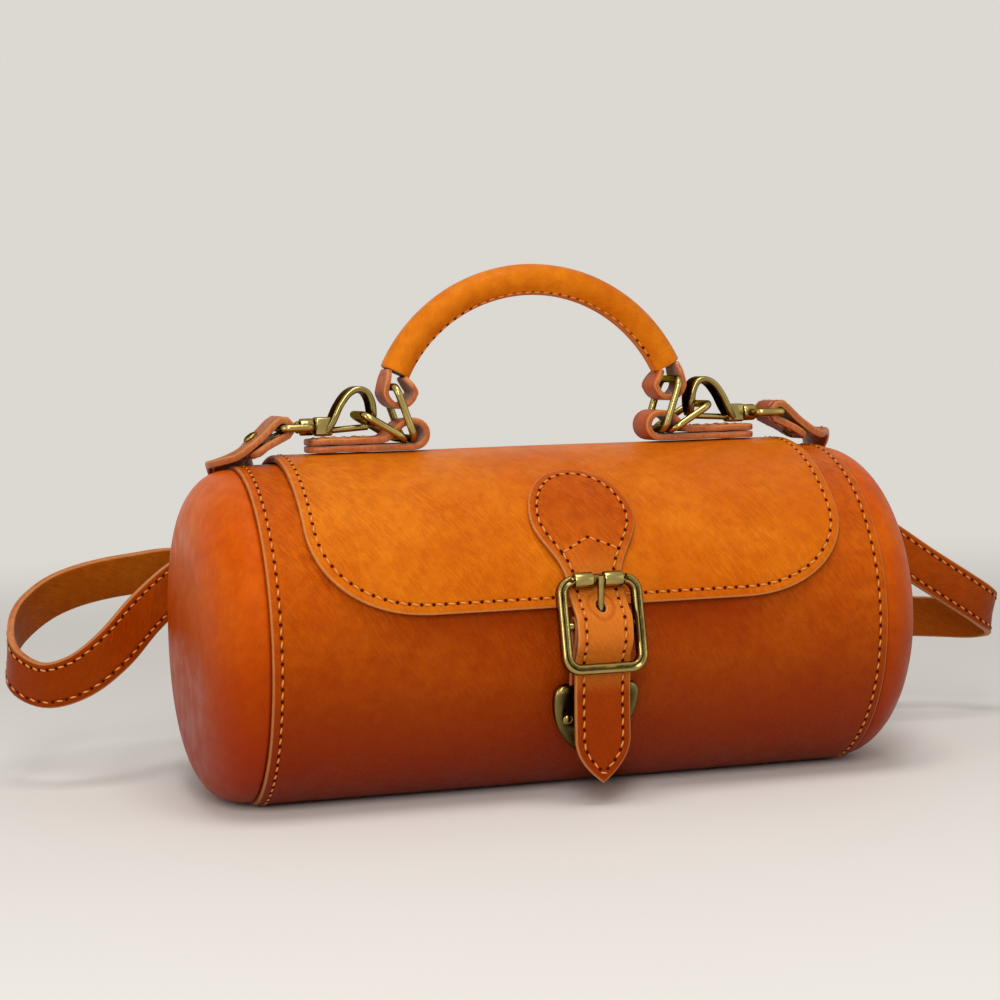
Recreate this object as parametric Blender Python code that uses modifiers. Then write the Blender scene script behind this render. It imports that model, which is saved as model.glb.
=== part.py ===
"""Barrel satchel in leather: a wrapped body with two moulded end caps, a flap closed by a strap
and buckle, a ringed carrying handle and a shoulder strap on snap hooks.

Sizes are in millimetres and become metres when a piece is placed. The origin is the middle of
the flat that the bag rests on. +Z is up, +X runs along the barrel and -Y is the front.
"""

import math

import bmesh
import bpy
from mathutils import Matrix, Vector

MM = 0.001
GAP = 0.3
ANGLE_STEP = 6.0
CORNER_STEPS = 4

# Barrel: radius of the panel's outer face, and how far it flattens on the table
BARREL_RADIUS = 57.5
FLOOR_SAG = 2.5
PANEL_LENGTH = 212.0
PANEL_THICKNESS = 2.5
PANEL_SEAM_ANGLE = -32.0
MOUTH_MARGIN = 24.0
MOUTH_BACK_ANGLE = 7.0
MOUTH_FRONT_ANGLE = 50.0
MOUTH_CORNER = 9.0

# End caps: a skirt inside the panel, then a full rim round a nearly flat end
CAP_THICKNESS = 2.2
CAP_SKIRT = 12.0
CAP_RIM_RADIUS = 56.3
CAP_RIM_REACH = 17.2
CAP_RIM_DROP = 25.0
CAP_RIM_START = 1.3
CAP_RIM_PIECES = 8
CAP_DOME = 0.8
CAP_STEPS = 36

# Flap: angles are measured round the barrel from the top, towards the front
FLAP_MARGIN = 13.5
FLAP_THICKNESS = 2.4
FLAP_BACK_ANGLE = -58.0
FLAP_HINGE_ANGLE = 11.3
FLAP_EDGE_ANGLE = 80.5
FLAP_CORNER_ACROSS = 40.0
FLAP_CORNER_DOWN = 31.0
FLAP_CORNER_POWER = 2.2
FLAP_CORNER_PIECES = 10

# Closure strap: an egg-shaped patch on the flap, a neck, and a pointed tail
STRAP_THICKNESS = 2.0
STRAP_HALF_WIDTH = 9.4
PATCH_TOP_ANGLE = 31.5
PATCH_HALF_WIDTH = 18.0
PATCH_RISE = 22.0
PATCH_FALL = 23.0
PATCH_TOP_POWER = 1.9
TAIL_TIP_HEIGHT = 7.6
TAIL_POINT = 15.0
TAIL_POINT_POWER = 2.1
TAIL_PIECES = 8
STRAP_HOLE_HALF_WIDTH = 1.65
STRAP_HOLE_HALF_HEIGHT = 2.9

# Buckle: a centre-bar frame with a roller along its top
BUCKLE_WIDTH = 29.0
BUCKLE_HEIGHT = 33.0
BUCKLE_CORNER = 4.0
BUCKLE_BAR = 3.4
BUCKLE_TILT = 12.0
BUCKLE_DEPTH_FACTOR = 1.2
ROLLER_ANGLE = 73.5
ROLLER_RADIUS = 2.6
ROLLER_BORE = 1.5
ROLLER_LENGTH = 16.4
ROLLER_GROOVE = 0.7
ROLLER_EDGE = 0.35
ROLLER_PIN = 1.15
CENTRE_BAR_RADIUS = 1.25
CENTRE_BAR_ALONG = 14.5
CENTRE_BAR_SET_BACK = 1.4
PRONG_RADIUS = 1.05
PRONG_BOSS = 2.5
PRONG_BOSS_LENGTH = 3.2
PRONG_REST_LIFT = 0.35
PRONG_OVERHANG = 1.6
PRONG_HOLE_SHARE = 0.4

# Chape: the short strap from the buckle's centre bar to the clasp
CHAPE_THICKNESS = 1.6
CHAPE_HALF_WIDTH = 9.4
CHAPE_SLOT = 4.4
CHAPE_LAP_ANGLE = 98.0
CHAPE_IN_CLASP = 8.0
CHAPE_ANGLE_STEP = 4.0

# Clasp: a shield-shaped metal end on the chape, and its plate on the body
CLASP_TOP_ANGLE = 104.5
CLASP_HEIGHT = 28.0
CLASP_HALF_WIDTH = 14.5
CLASP_THICKNESS = 4.0
CLASP_MOUTH_DEPTH = 9.0
CLASP_CORNER = 3.5
CLASP_POINT_POWER = 2.3
CLASP_POINT_PIECES = 8
CLASP_BASE_THICKNESS = 1.2
CLASP_BASE_INSET = 1.6
RIVET_ANGLE = 115.2
RIVET_SPREAD = 9.6
RIVET_HEAD = 1.8
RIVET_DOME = 0.7
RIVET_SHANK = 0.8
RIVET_DEPTH = 1.6

# Anchors, rings and handle
WIRE_RADIUS = 1.3
ANCHOR_THICKNESS = 2.3
ANCHOR_HALF_WIDTH = 7.2
ANCHOR_MARGIN = 11.5
ANCHOR_LENGTH = 35.8
ANCHOR_LAP = 25.0
ANCHOR_CORNER = 5.0
ANCHOR_FOLD = 4.3
ANCHOR_FOLD_IN = 0.7
RING_CLEARANCE = 0.5
RING_HALF_WIDTH = 9.5
RING_CORNER = 3.2
HANDLE_RING_LENGTH = 18.6
HANDLE_RING_LEAN = 19.0
STRAP_RING_LENGTH = 16.5
STRAP_RING_RISE = 31.0
HANDLE_RADIUS = 5.25
HANDLE_CORE_RADIUS = 3.0
HANDLE_RISE = 31.0
HANDLE_LOOP_IN = 1.9
HANDLE_LOOP_UP = 4.9
HANDLE_LOOP_HALF_WIDTH = 6.6
HANDLE_LOOP_THICKNESS = 2.0
HANDLE_LOOP_EYE = 5.1
HANDLE_LOOP_BACK = 0.5
HANDLE_LOOP_HANG = 1.4
HANDLE_LOOP_SPREAD = 3.4
HANDLE_LOOP_INNER_DROP = 1.3
HANDLE_LOOP_OUTER_DROP = 0.7
HANDLE_PIECES = 22
FOLD_PIECES = 8

# Snap hooks and their swivels
HOOK_THICKNESS = 2.2
HOOK_HALF_WIDTH = 4.6
HOOK_ROOT_HALF_WIDTH = 3.4
HOOK_NOSE_HALF_WIDTH = 2.2
HOOK_TAPER = 7.0
HOOK_SLACK_OUT = 1.1
HOOK_SLACK_DOWN = 0.2
HOOK_PIECES = 3
HOOK_BLOCK_OUT = 11.5
HOOK_BLOCK_DOWN = 3.4
HOOK_BLOCK_LENGTH = 6.0
HOOK_BLOCK_HALF = 3.2
HOOK_BLOCK_EDGE = 0.8
GATE_RADIUS = 1.1
GATE_BOSS = 1.5
GATE_SLOT = 3.0
GATE_PIN_RADIUS = 0.6
GATE_DROP = 1.5
GATE_OVERHANG = 0.4
NECK_RADIUS = 1.25
NECK_HEAD_RADIUS = 2.2
NECK_HEAD_THICKNESS = 1.4
EYE_BOSS_RADIUS = 2.9
EYE_BOSS_LENGTH = 4.6
EYE_REACH = 15.0
EYE_HALF_WIDTH = 9.9
EYE_CORNER = 1.8

# Shoulder strap
SHOULDER_HALF_WIDTH = 8.0
SHOULDER_THICKNESS = 2.6
SHOULDER_CORNER = 4.0
SHOULDER_LAP = 14.0
SHOULDER_PINCH = 7.5
SHOULDER_SLACK = 0.25
SHOULDER_FALL = 35.0
SHOULDER_PIECES = 2
STUD_FROM_END = 4.5
STUD_RADIUS = 2.6
STUD_BACK_RADIUS = 2.1
STUD_DOME = 1.0
STUD_BACK_THICKNESS = 0.6
STUD_SHANK = 1.1

MOUTH_LENGTH = PANEL_LENGTH - 2 * MOUTH_MARGIN
FLAP_LENGTH = PANEL_LENGTH - 2 * FLAP_MARGIN
AXIS_HEIGHT = BARREL_RADIUS - FLOOR_SAG
PANEL_INNER = BARREL_RADIUS - PANEL_THICKNESS
CAP_OUTER = PANEL_INNER - GAP
FLAP_INNER = BARREL_RADIUS + GAP
FLAP_OUTER = FLAP_INNER + FLAP_THICKNESS
STRAP_MIDDLE = FLAP_OUTER + GAP + STRAP_THICKNESS / 2
CLASP_INNER = BARREL_RADIUS + GAP + CLASP_BASE_THICKNESS + GAP
CHAPE_MIDDLE = CLASP_INNER + CLASP_THICKNESS / 2
ANCHOR_BASE = AXIS_HEIGHT + FLAP_OUTER + GAP
RING_BAR_HEIGHT = ANCHOR_BASE + ANCHOR_THICKNESS + WIRE_RADIUS + GAP
ANCHOR_OUTER = FLAP_LENGTH / 2 - ANCHOR_MARGIN
ANCHOR_LAP_START = ANCHOR_OUTER - ANCHOR_LAP
HANDLE_RING_X = ANCHOR_OUTER - ANCHOR_LENGTH
STRAP_RING_X = HANDLE_RING_X + 2 * WIRE_RADIUS + RING_CLEARANCE


def leaned(x, length, lean):
    """(x, z) at the far end of something that leans outwards from a ring's bar in an anchor."""
    turn = math.radians(lean)
    return x + length * math.sin(turn), RING_BAR_HEIGHT + length * math.cos(turn)


HANDLE_BAR = leaned(HANDLE_RING_X, HANDLE_RING_LENGTH, HANDLE_RING_LEAN)
STRAP_BAR = leaned(STRAP_RING_X, STRAP_RING_LENGTH, 90.0 - STRAP_RING_RISE)
HANDLE_END_X = HANDLE_BAR[0] - HANDLE_LOOP_IN
HANDLE_END_HEIGHT = HANDLE_BAR[1] + HANDLE_LOOP_UP
HOOK_CENTRE_X = STRAP_BAR[0] + HOOK_SLACK_OUT
HOOK_CENTRE_HEIGHT = STRAP_BAR[1] - HOOK_SLACK_DOWN
HOOK_BLOCK_X = HOOK_CENTRE_X + HOOK_BLOCK_OUT
HOOK_AXIS_HEIGHT = HOOK_CENTRE_HEIGHT - HOOK_BLOCK_DOWN
EYE_BAR_X = HOOK_BLOCK_X + EYE_REACH


def clear_scene():
    for thing in list(bpy.data.objects):
        bpy.data.objects.remove(thing, do_unlink=True)


def collection(name, hidden=False):
    made = bpy.data.collections.new(name)
    made.hide_render = hidden
    bpy.context.scene.collection.children.link(made)
    return made


def material(name, colour, roughness, metallic=0.0):
    made = bpy.data.materials.new(name)
    made.use_nodes = True
    shader = made.node_tree.nodes["Principled BSDF"]
    shader.inputs["Base Color"].default_value = (*colour, 1.0)
    shader.inputs["Roughness"].default_value = roughness
    shader.inputs["Metallic"].default_value = metallic
    return made


def leather(name):
    return material(name, (0.62, 0.17, 0.02), 0.42)


def brass(name):
    return material(name, (0.33, 0.25, 0.11), 0.34, 1.0)


def add(name, data, finish, place=None):
    made = bpy.data.objects.new(name, data)
    satchel.objects.link(made)
    if finish:
        data.materials.append(finish)
    if place:
        made.matrix_world = place
    return made


def as_cutter(made):
    satchel.objects.unlink(made)
    cutters.objects.link(made)
    made.hide_render = True
    made.display_type = "WIRE"
    return made


def boolean(target, other, operation):
    change = target.modifiers.new(other.name, "BOOLEAN")
    change.operation = operation
    change.object = as_cutter(other)
    carry(target, [other])


def carry(carrier, pieces):
    """Parents pieces to the one that carries them and leaves them where they are."""
    bpy.context.view_layer.update()
    for piece in pieces:
        piece.parent = carrier
        piece.matrix_parent_inverse = carrier.matrix_world.inverted()


def pivot(name, x, y, z, names):
    """An empty on a joint's axis, which carries what turns about it."""
    made = bpy.data.objects.new(name, None)
    made.empty_display_size = 0.01
    made.location = Vector((x, y, z)) * MM
    satchel.objects.link(made)
    carry(made, [bpy.data.objects[piece] for piece in names])
    return made


def bmesh_object(name, mesh, finish, place=None):
    bmesh.ops.recalc_face_normals(mesh, faces=mesh.faces)
    data = bpy.data.meshes.new(name)
    mesh.to_mesh(data)
    mesh.free()
    return add(name, data, finish, place)


def as_mesh(made):
    """The evaluated curve or turned piece as a mesh object with its caps welded."""
    bpy.context.view_layer.update()
    graph = bpy.context.evaluated_depsgraph_get()
    data = bpy.data.meshes.new_from_object(made.evaluated_get(graph))
    welded = bmesh.new()
    welded.from_mesh(data)
    bmesh.ops.remove_doubles(welded, verts=welded.verts, dist=1e-6)
    welded.to_mesh(data)
    welded.free()
    name = made.name
    place = made.matrix_world.copy()
    bpy.data.objects.remove(made, do_unlink=True)
    mesh_object = add(name, data, None, place)
    mesh_object.name = name
    return mesh_object


def shade(made, angle=40.0):
    made.data.shade_smooth()
    made.data.set_sharp_from_angle(angle=math.radians(angle))
    return made


def around(angle, radius):
    """(y, z) of a point round the barrel, the angle in degrees from the top to the front."""
    turn = math.radians(angle)
    return -radius * math.sin(turn), AXIS_HEIGHT + radius * math.cos(turn)


def arc_length(angle, radius):
    return math.radians(angle) * radius


def arc(centre, radius, start, end, count):
    """Points on a circle in a plane, from one angle to another in degrees."""
    turns = [math.radians(start + (end - start) * i / count) for i in range(count + 1)]
    return [(centre[0] + radius * math.cos(t), centre[1] + radius * math.sin(t)) for t in turns]


def smooth(points, per_span=4):
    """A curve through every point, with per_span pieces between neighbours."""
    rows = [Vector(p) for p in points]
    ends = [rows[0] * 2 - rows[1]] + rows + [rows[-1] * 2 - rows[-2]]
    out = []
    for i in range(1, len(ends) - 2):
        a, b, c, d = ends[i - 1 : i + 3]
        bend = 2 * a - 5 * b + 4 * c - d
        twist = 3 * b - a - 3 * c + d
        for k in range(per_span):
            t = k / per_span
            out.append(b + ((c - a) * t + bend * t**2 + twist * t**3) / 2)
    out.append(rows[-1])
    return out


class Route:
    """A line of points that can be read at any distance along it."""

    def __init__(self, points):
        self.points = [Vector(p) for p in points]
        self.stations = [0.0]
        for a, b in zip(self.points, self.points[1:]):
            self.stations.append(self.stations[-1] + (b - a).length)
        self.length = self.stations[-1]

    def at(self, distance):
        distance = min(max(distance, 0.0), self.length)
        for i, end in enumerate(self.stations[1:]):
            if distance <= end:
                break
        start = self.stations[i]
        share = (distance - start) / (end - start)
        return self.points[i].lerp(self.points[i + 1], share)


def flat_blank(name, outlines, cuts):
    """A flat sheet cut to its outlines, creased across at the distances in cuts."""
    curve = bpy.data.curves.new(name, "CURVE")
    curve.dimensions = "2D"
    curve.fill_mode = "BOTH"
    for outline in outlines:
        spline = curve.splines.new("POLY")
        spline.points.add(len(outline) - 1)
        for point, (u, v) in zip(spline.points, outline):
            point.co = (u, v, 0.0, 1.0)
        spline.use_cyclic_u = True
    sheet = as_mesh(add(name, curve, None))
    blank = bmesh.new()
    blank.from_mesh(sheet.data)
    bpy.data.objects.remove(sheet, do_unlink=True)
    for face in blank.faces:
        if face.normal.z < 0:
            face.normal_flip()
    for cut in cuts:
        bmesh.ops.bisect_plane(
            blank,
            geom=blank.verts[:] + blank.edges[:] + blank.faces[:],
            dist=1e-4,
            plane_co=(0, cut, 0),
            plane_no=(0, 1, 0),
        )
    bmesh.ops.remove_doubles(blank, verts=blank.verts, dist=1e-3)
    return blank


def bent(name, blank, place, thickness, offset, finish):
    """A blank bent by the function place, then given its thickness."""
    for vert in blank.verts:
        vert.co = Vector(place(vert.co.x, vert.co.y)) * MM
    data = bpy.data.meshes.new(name)
    blank.to_mesh(data)
    blank.free()
    made = add(name, data, finish)
    thick = made.modifiers.new("Thickness", "SOLIDIFY")
    thick.thickness = thickness * MM
    thick.offset = offset
    thick.use_even_offset = True
    return made


def wrapped(name, outlines, radius, thickness, finish, floor=None):
    """A blank wrapped round the barrel with its inner face at radius, growing outwards."""
    lowest = min(v for outline in outlines for _, v in outline)
    highest = max(v for outline in outlines for _, v in outline)
    step = arc_length(ANGLE_STEP, radius)
    cuts = [i * step for i in range(math.ceil(lowest / step), math.floor(highest / step) + 1)]
    if floor is not None:
        edge = math.degrees(math.acos((floor - AXIS_HEIGHT) / radius))
        cuts += [arc_length(edge, radius), arc_length(360.0 - edge, radius)]

    def place(u, v):
        y, z = around(math.degrees(v / radius), radius)
        if floor is not None:
            z = max(z, floor)
        return u, y, z

    return bent(name, flat_blank(name, outlines, cuts), place, thickness, -1.0, finish)


def strip(name, route, half_width, thickness, place, finish):
    """A strap bent along a route in a plane. half_width is a size, or a function of the distance."""
    width_at = half_width if callable(half_width) else lambda distance: half_width
    stations = route.stations
    left = [(-width_at(s), s) for s in stations if width_at(s) > 0.02]
    right = [(width_at(s), s) for s in reversed(stations) if width_at(s) > 0.02]
    ends = [(0.0, route.length)] if width_at(route.length) <= 0.02 else []
    start = [(0.0, 0.0)] if width_at(0.0) <= 0.02 else []
    outline = start + left + ends + right
    blank = flat_blank(name, [outline], stations[1:-1])
    return bent(name, blank, lambda u, v: place(u, route.at(v)), thickness, 0.0, finish)


def front_plane(u, point):
    return u, point[0], point[1]


def long_plane(u, point):
    return point[0], u, point[1]


def tube(name, points, radius, finish, closed=False, sides=2, place=None):
    """Round wire along points in space."""
    curve = bpy.data.curves.new(name, "CURVE")
    curve.dimensions = "3D"
    curve.bevel_depth = radius * MM
    curve.bevel_resolution = sides
    curve.use_fill_caps = not closed
    spline = curve.splines.new("POLY")
    spline.points.add(len(points) - 1)
    for point, where in zip(spline.points, points):
        point.co = (*(Vector(where) * MM), 1.0)
    spline.use_cyclic_u = closed
    return add(name, curve, finish, place)


def cylinder(name, radius, length, finish, place, sides=20, taper=1.0):
    """A cylinder centred on the place matrix, along its local Z."""
    mesh = bmesh.new()
    bmesh.ops.create_cone(
        mesh,
        cap_ends=True,
        segments=sides,
        radius1=radius * MM,
        radius2=radius * taper * MM,
        depth=length * MM,
    )
    return bmesh_object(name, mesh, finish, place)


def box(name, size, finish, place):
    mesh = bmesh.new()
    bmesh.ops.create_cube(mesh, size=1.0)
    for vert in mesh.verts:
        vert.co = Vector([vert.co[i] * size[i] * MM for i in range(3)])
    return bmesh_object(name, mesh, finish, place)


def turned(name, profile, steps, finish, place):
    """A profile of (radius, height) points turned about the local Z of the place matrix."""
    data = bpy.data.meshes.new(name)
    closed = profile[0][0] > 0.0 and profile[-1][0] > 0.0
    count = len(profile)
    edges = [(i, i + 1) for i in range(count - 1)]
    if closed:
        edges.append((count - 1, 0))
    data.from_pydata([(r * MM, 0.0, z * MM) for r, z in profile], edges, [])
    made = add(name, data, finish, place)
    screw = made.modifiers.new("Turn", "SCREW")
    screw.steps = steps
    screw.render_steps = steps
    screw.use_merge_vertices = True
    screw.merge_threshold = 1e-5
    return made


def dome(radius, base, height):
    """Profile of a low round head from its top to its rim."""
    rows = []
    for i in range(4):
        turn = math.radians(30.0 * i)
        rows.append((radius * math.sin(turn), base + height * math.cos(turn)))
    return rows


def place_at(x, y, z, axis="Z"):
    """A place matrix whose local Z points along the named world axis."""
    turn = {
        "X": Matrix.Rotation(math.radians(90), 4, "Y"),
        "-X": Matrix.Rotation(math.radians(-90), 4, "Y"),
        "Y": Matrix.Rotation(math.radians(-90), 4, "X"),
        "Z": Matrix.Identity(4),
    }[axis]
    return Matrix.Translation(Vector((x, y, z)) * MM) @ turn


def rounded_rectangle(half_u, v_low, v_high, corner):
    """Outline of a rectangle with quarter-circle corners, from the right side's upper end."""
    centres = [
        (half_u - corner, v_high - corner, 0),
        (-half_u + corner, v_high - corner, 90),
        (-half_u + corner, v_low + corner, 180),
        (half_u - corner, v_low + corner, 270),
    ]
    points = []
    for u, v, start in centres:
        points += arc((u, v), corner, start, start + 90, CORNER_STEPS)
    return points


def make_body_panel():
    start = arc_length(PANEL_SEAM_ANGLE, PANEL_INNER)
    end = arc_length(PANEL_SEAM_ANGLE + 360.0, PANEL_INNER) - GAP
    half = PANEL_LENGTH / 2
    outline = [(-half, start), (half, start), (half, end), (-half, end)]
    mouth = rounded_rectangle(
        MOUTH_LENGTH / 2,
        arc_length(MOUTH_BACK_ANGLE, PANEL_INNER),
        arc_length(MOUTH_FRONT_ANGLE, PANEL_INNER),
        MOUTH_CORNER,
    )
    finish = leather("body_panel")
    wrapped("body_panel", [outline, mouth], PANEL_INNER, PANEL_THICKNESS, finish, PANEL_THICKNESS)


def cap_profile():
    """(radius, distance along the barrel) from the middle of the end to the skirt's edge."""
    edge = PANEL_LENGTH / 2
    rim_start = edge + CAP_RIM_START
    points = []
    for i in range(3):
        share = i / 3
        inner = CAP_RIM_RADIUS - CAP_RIM_DROP
        points.append((inner * share, rim_start + CAP_RIM_REACH + CAP_DOME * (1 - share * share)))
    for i in range(CAP_RIM_PIECES):
        turn = math.radians(90.0 - 90.0 * i / CAP_RIM_PIECES)
        radius = CAP_RIM_RADIUS - CAP_RIM_DROP * (1 - math.cos(turn))
        points.append((radius, rim_start + CAP_RIM_REACH * math.sin(turn)))
    points.append((CAP_RIM_RADIUS - GAP, rim_start))
    points.append((CAP_OUTER, edge - GAP))
    points.append((CAP_OUTER, edge - CAP_SKIRT))
    return points


def make_end_cap(name, side):
    profile = cap_profile()
    turned_cap = turned(name, profile, CAP_STEPS, leather(name), place_at(0, 0, AXIS_HEIGHT, "X"))
    cap = as_mesh(turned_cap)
    skirt_end = PANEL_LENGTH / 2
    skirt_floor = BARREL_RADIUS - CAP_OUTER
    rim_floor = BARREL_RADIUS - CAP_RIM_RADIUS
    mesh = bmesh.new()
    mesh.from_mesh(cap.data)
    mesh.transform(cap.matrix_world)
    for vert in mesh.verts:
        floor = skirt_floor if vert.co.x / MM <= skirt_end else rim_floor
        vert.co.z = max(vert.co.z, floor * MM)
        vert.co.x *= side
    bmesh.ops.recalc_face_normals(mesh, faces=mesh.faces)
    top = max(mesh.faces, key=lambda face: face.calc_center_median().z)
    if top.normal.z < 0:
        bmesh.ops.reverse_faces(mesh, faces=mesh.faces)
    mesh.to_mesh(cap.data)
    mesh.free()
    cap.matrix_world = Matrix.Identity(4)
    thick = cap.modifiers.new("Thickness", "SOLIDIFY")
    thick.thickness = CAP_THICKNESS * MM
    thick.offset = -1.0
    thick.use_even_offset = True


def flap_corner(side, down):
    """Points of one lower corner, from the side edge to the lower edge."""
    points = []
    for i in range(FLAP_CORNER_PIECES + 1):
        turn = math.radians(90.0 * i / FLAP_CORNER_PIECES)
        across = math.cos(turn) ** (2 / FLAP_CORNER_POWER) * FLAP_CORNER_ACROSS
        along = math.sin(turn) ** (2 / FLAP_CORNER_POWER) * FLAP_CORNER_DOWN
        u = FLAP_LENGTH / 2 - FLAP_CORNER_ACROSS + across
        points.append((side * u, down - FLAP_CORNER_DOWN + along))
    return points


def make_flap():
    half = FLAP_LENGTH / 2
    hinge = arc_length(FLAP_HINGE_ANGLE, FLAP_INNER)
    back = arc_length(FLAP_BACK_ANGLE, FLAP_INNER)
    down = arc_length(FLAP_EDGE_ANGLE, FLAP_INNER)
    fixed = [(-half, back), (half, back), (half, hinge - GAP / 2), (-half, hinge - GAP / 2)]
    wrapped("flap_back", [fixed], FLAP_INNER, FLAP_THICKNESS, leather("flap_back"))
    top = hinge + GAP / 2
    moving = [(half, top)] + flap_corner(1, down) + list(reversed(flap_corner(-1, down))) + [(-half, top)]
    wrapped("flap_front", [moving], FLAP_INNER, FLAP_THICKNESS, leather("flap_front"))


def buckle_point(along, out=0.0):
    """(y, z) of a point in the buckle's own plane: along it from the roller's axis, and out of it."""
    y, z = around(ROLLER_ANGLE, FLAP_OUTER + GAP + STRAP_THICKNESS + GAP + ROLLER_RADIUS)
    tilt = math.radians(BUCKLE_TILT)
    return (
        y - along * math.sin(tilt) - out * math.cos(tilt),
        z - along * math.cos(tilt) + out * math.sin(tilt),
    )


def centre_bar_point():
    return buckle_point(CENTRE_BAR_ALONG, -CENTRE_BAR_SET_BACK)


def closure_route():
    """Middle line of the strap: down the flap, over the centre bar, behind the lower bar, down."""
    step = ANGLE_STEP / 2
    count = int((ROLLER_ANGLE - PATCH_TOP_ANGLE) / step)
    angles = [PATCH_TOP_ANGLE + (ROLLER_ANGLE - PATCH_TOP_ANGLE) * i / count for i in range(count + 1)]
    on_flap = [around(angle, STRAP_MIDDLE) for angle in angles]
    bar_y, bar_z = centre_bar_point()
    over_bar = bar_y - CENTRE_BAR_RADIUS - GAP - CHAPE_THICKNESS - GAP - STRAP_THICKNESS / 2
    low_y, low_z = buckle_point(BUCKLE_HEIGHT - ROLLER_RADIUS - BUCKLE_BAR / 2)
    under_bar = low_y + BUCKLE_BAR * BUCKLE_DEPTH_FACTOR / 2 + GAP + STRAP_THICKNESS / 2
    # The drape between the roller, the centre bar and the lower bar is set by hand
    free = [
        on_flap[-1],
        (on_flap[-1][0] - 2.6, on_flap[-1][1] - 4.0),
        (on_flap[-1][0] - 6.3, on_flap[-1][1] - 8.0),
        (over_bar + 0.7, bar_z + 3.0),
        (over_bar - 0.2, bar_z - 0.8),
        (over_bar - 0.1, bar_z - 5.0),
        (under_bar - 0.9, low_z + 4.2),
        (under_bar, low_z + 0.6),
        (under_bar + 0.2, low_z - 3.0),
        (under_bar + 0.9, low_z - 10.0),
        (under_bar + 1.2, low_z - 20.0),
    ]
    low = free[-1][1]
    drop = low - TAIL_TIP_HEIGHT
    tail = [(free[-1][0] + 0.1 * i, low - drop * i / TAIL_PIECES) for i in range(1, TAIL_PIECES + 1)]
    return Route(on_flap[:-1] + smooth(free, 3) + tail)


def closure_half_width(length):
    """Half the strap's width at a distance from the patch's top: an egg, a neck and a point."""

    def width(distance):
        neck_end = PATCH_RISE + PATCH_FALL
        if distance < PATCH_RISE:
            share = (PATCH_RISE - distance) / PATCH_RISE
            return PATCH_HALF_WIDTH * math.sqrt(max(1.0 - share**PATCH_TOP_POWER, 0.0))
        if distance < neck_end:
            share = (distance - PATCH_RISE) / PATCH_FALL
            ease = 0.5 - 0.5 * math.cos(math.pi * share)
            return PATCH_HALF_WIDTH + (STRAP_HALF_WIDTH - PATCH_HALF_WIDTH) * ease
        share = max(distance - (length - TAIL_POINT), 0.0) / TAIL_POINT
        return STRAP_HALF_WIDTH * (1.0 - share**TAIL_POINT_POWER)

    return width


def make_closure_strap():
    route = closure_route()
    strap = strip(
        "closure_strap",
        route,
        closure_half_width(route.length),
        STRAP_THICKNESS,
        front_plane,
        leather("closure_strap"),
    )
    y, z = prong_crossing()
    hole = cylinder("strap_hole", 1.0, BUCKLE_WIDTH / 2, None, place_at(0, y, z, "Y"), 16)
    hole.data.transform(Matrix.Diagonal((STRAP_HOLE_HALF_WIDTH, STRAP_HOLE_HALF_HEIGHT, 1.0, 1.0)))
    boolean(strap, hole, "DIFFERENCE")


def prong_tip():
    """Centre of the prong where it rests in the roller's groove."""
    y, z = buckle_point(0.0)
    return y - (ROLLER_RADIUS - ROLLER_GROOVE + PRONG_REST_LIFT + PRONG_RADIUS), z


def prong_crossing():
    """Where the prong comes through the strap."""
    bar = Vector(centre_bar_point())
    tip = Vector(prong_tip())
    return tuple(bar.lerp(tip, PRONG_HOLE_SHARE))


def make_buckle():
    half = BUCKLE_WIDTH / 2 - BUCKLE_BAR / 2
    reach = BUCKLE_HEIGHT - ROLLER_RADIUS - BUCKLE_BAR / 2
    outline = rounded_rectangle(half, -reach, 0.0, BUCKLE_CORNER)
    top_y, top_z = buckle_point(0.0)
    tilt = Matrix.Rotation(math.radians(90.0 - BUCKLE_TILT), 4, "X")
    place = Matrix.Translation(Vector((0, top_y, top_z)) * MM) @ tilt
    shoulder = ROLLER_LENGTH / 2 + GAP
    left_top = CORNER_STEPS + 1
    loop = outline[left_top:] + outline[:left_top]
    points = [(-shoulder, 0.0, 0.0)] + [(u, v, 0.0) for u, v in loop] + [(shoulder, 0.0, 0.0)]
    frame = as_mesh(tube("buckle_frame", points, BUCKLE_BAR / 2, None, place=place))
    frame.data.transform(Matrix.Diagonal((1.0, 1.0, BUCKLE_DEPTH_FACTOR, 1.0)))
    frame.data.materials.append(brass("buckle_frame"))
    pin_length = ROLLER_LENGTH + 2 * BUCKLE_BAR
    pin = cylinder("roller_pin", ROLLER_PIN, pin_length, None, place_at(0, top_y, top_z, "X"))
    boolean(frame, pin, "UNION")
    bar_y, bar_z = centre_bar_point()
    bar = cylinder("centre_bar", CENTRE_BAR_RADIUS, 2 * half, None, place_at(0, bar_y, bar_z, "X"), 16)
    boolean(frame, bar, "UNION")


def make_roller():
    end = ROLLER_LENGTH / 2
    notch = PRONG_RADIUS + 2 * GAP
    floor = ROLLER_RADIUS - ROLLER_GROOVE
    profile = [
        (ROLLER_RADIUS - ROLLER_EDGE, end),
        (ROLLER_RADIUS, end - ROLLER_EDGE),
        (ROLLER_RADIUS, notch + ROLLER_EDGE),
        (floor, notch),
        (floor, -notch),
        (ROLLER_RADIUS, -notch - ROLLER_EDGE),
        (ROLLER_RADIUS, -end + ROLLER_EDGE),
        (ROLLER_RADIUS - ROLLER_EDGE, -end),
        (ROLLER_BORE, -end),
        (ROLLER_BORE, end),
    ]
    y, z = buckle_point(0.0)
    shade(turned("buckle_roller", profile, 20, brass("buckle_roller"), place_at(0, y, z, "X")), 50.0)


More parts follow.
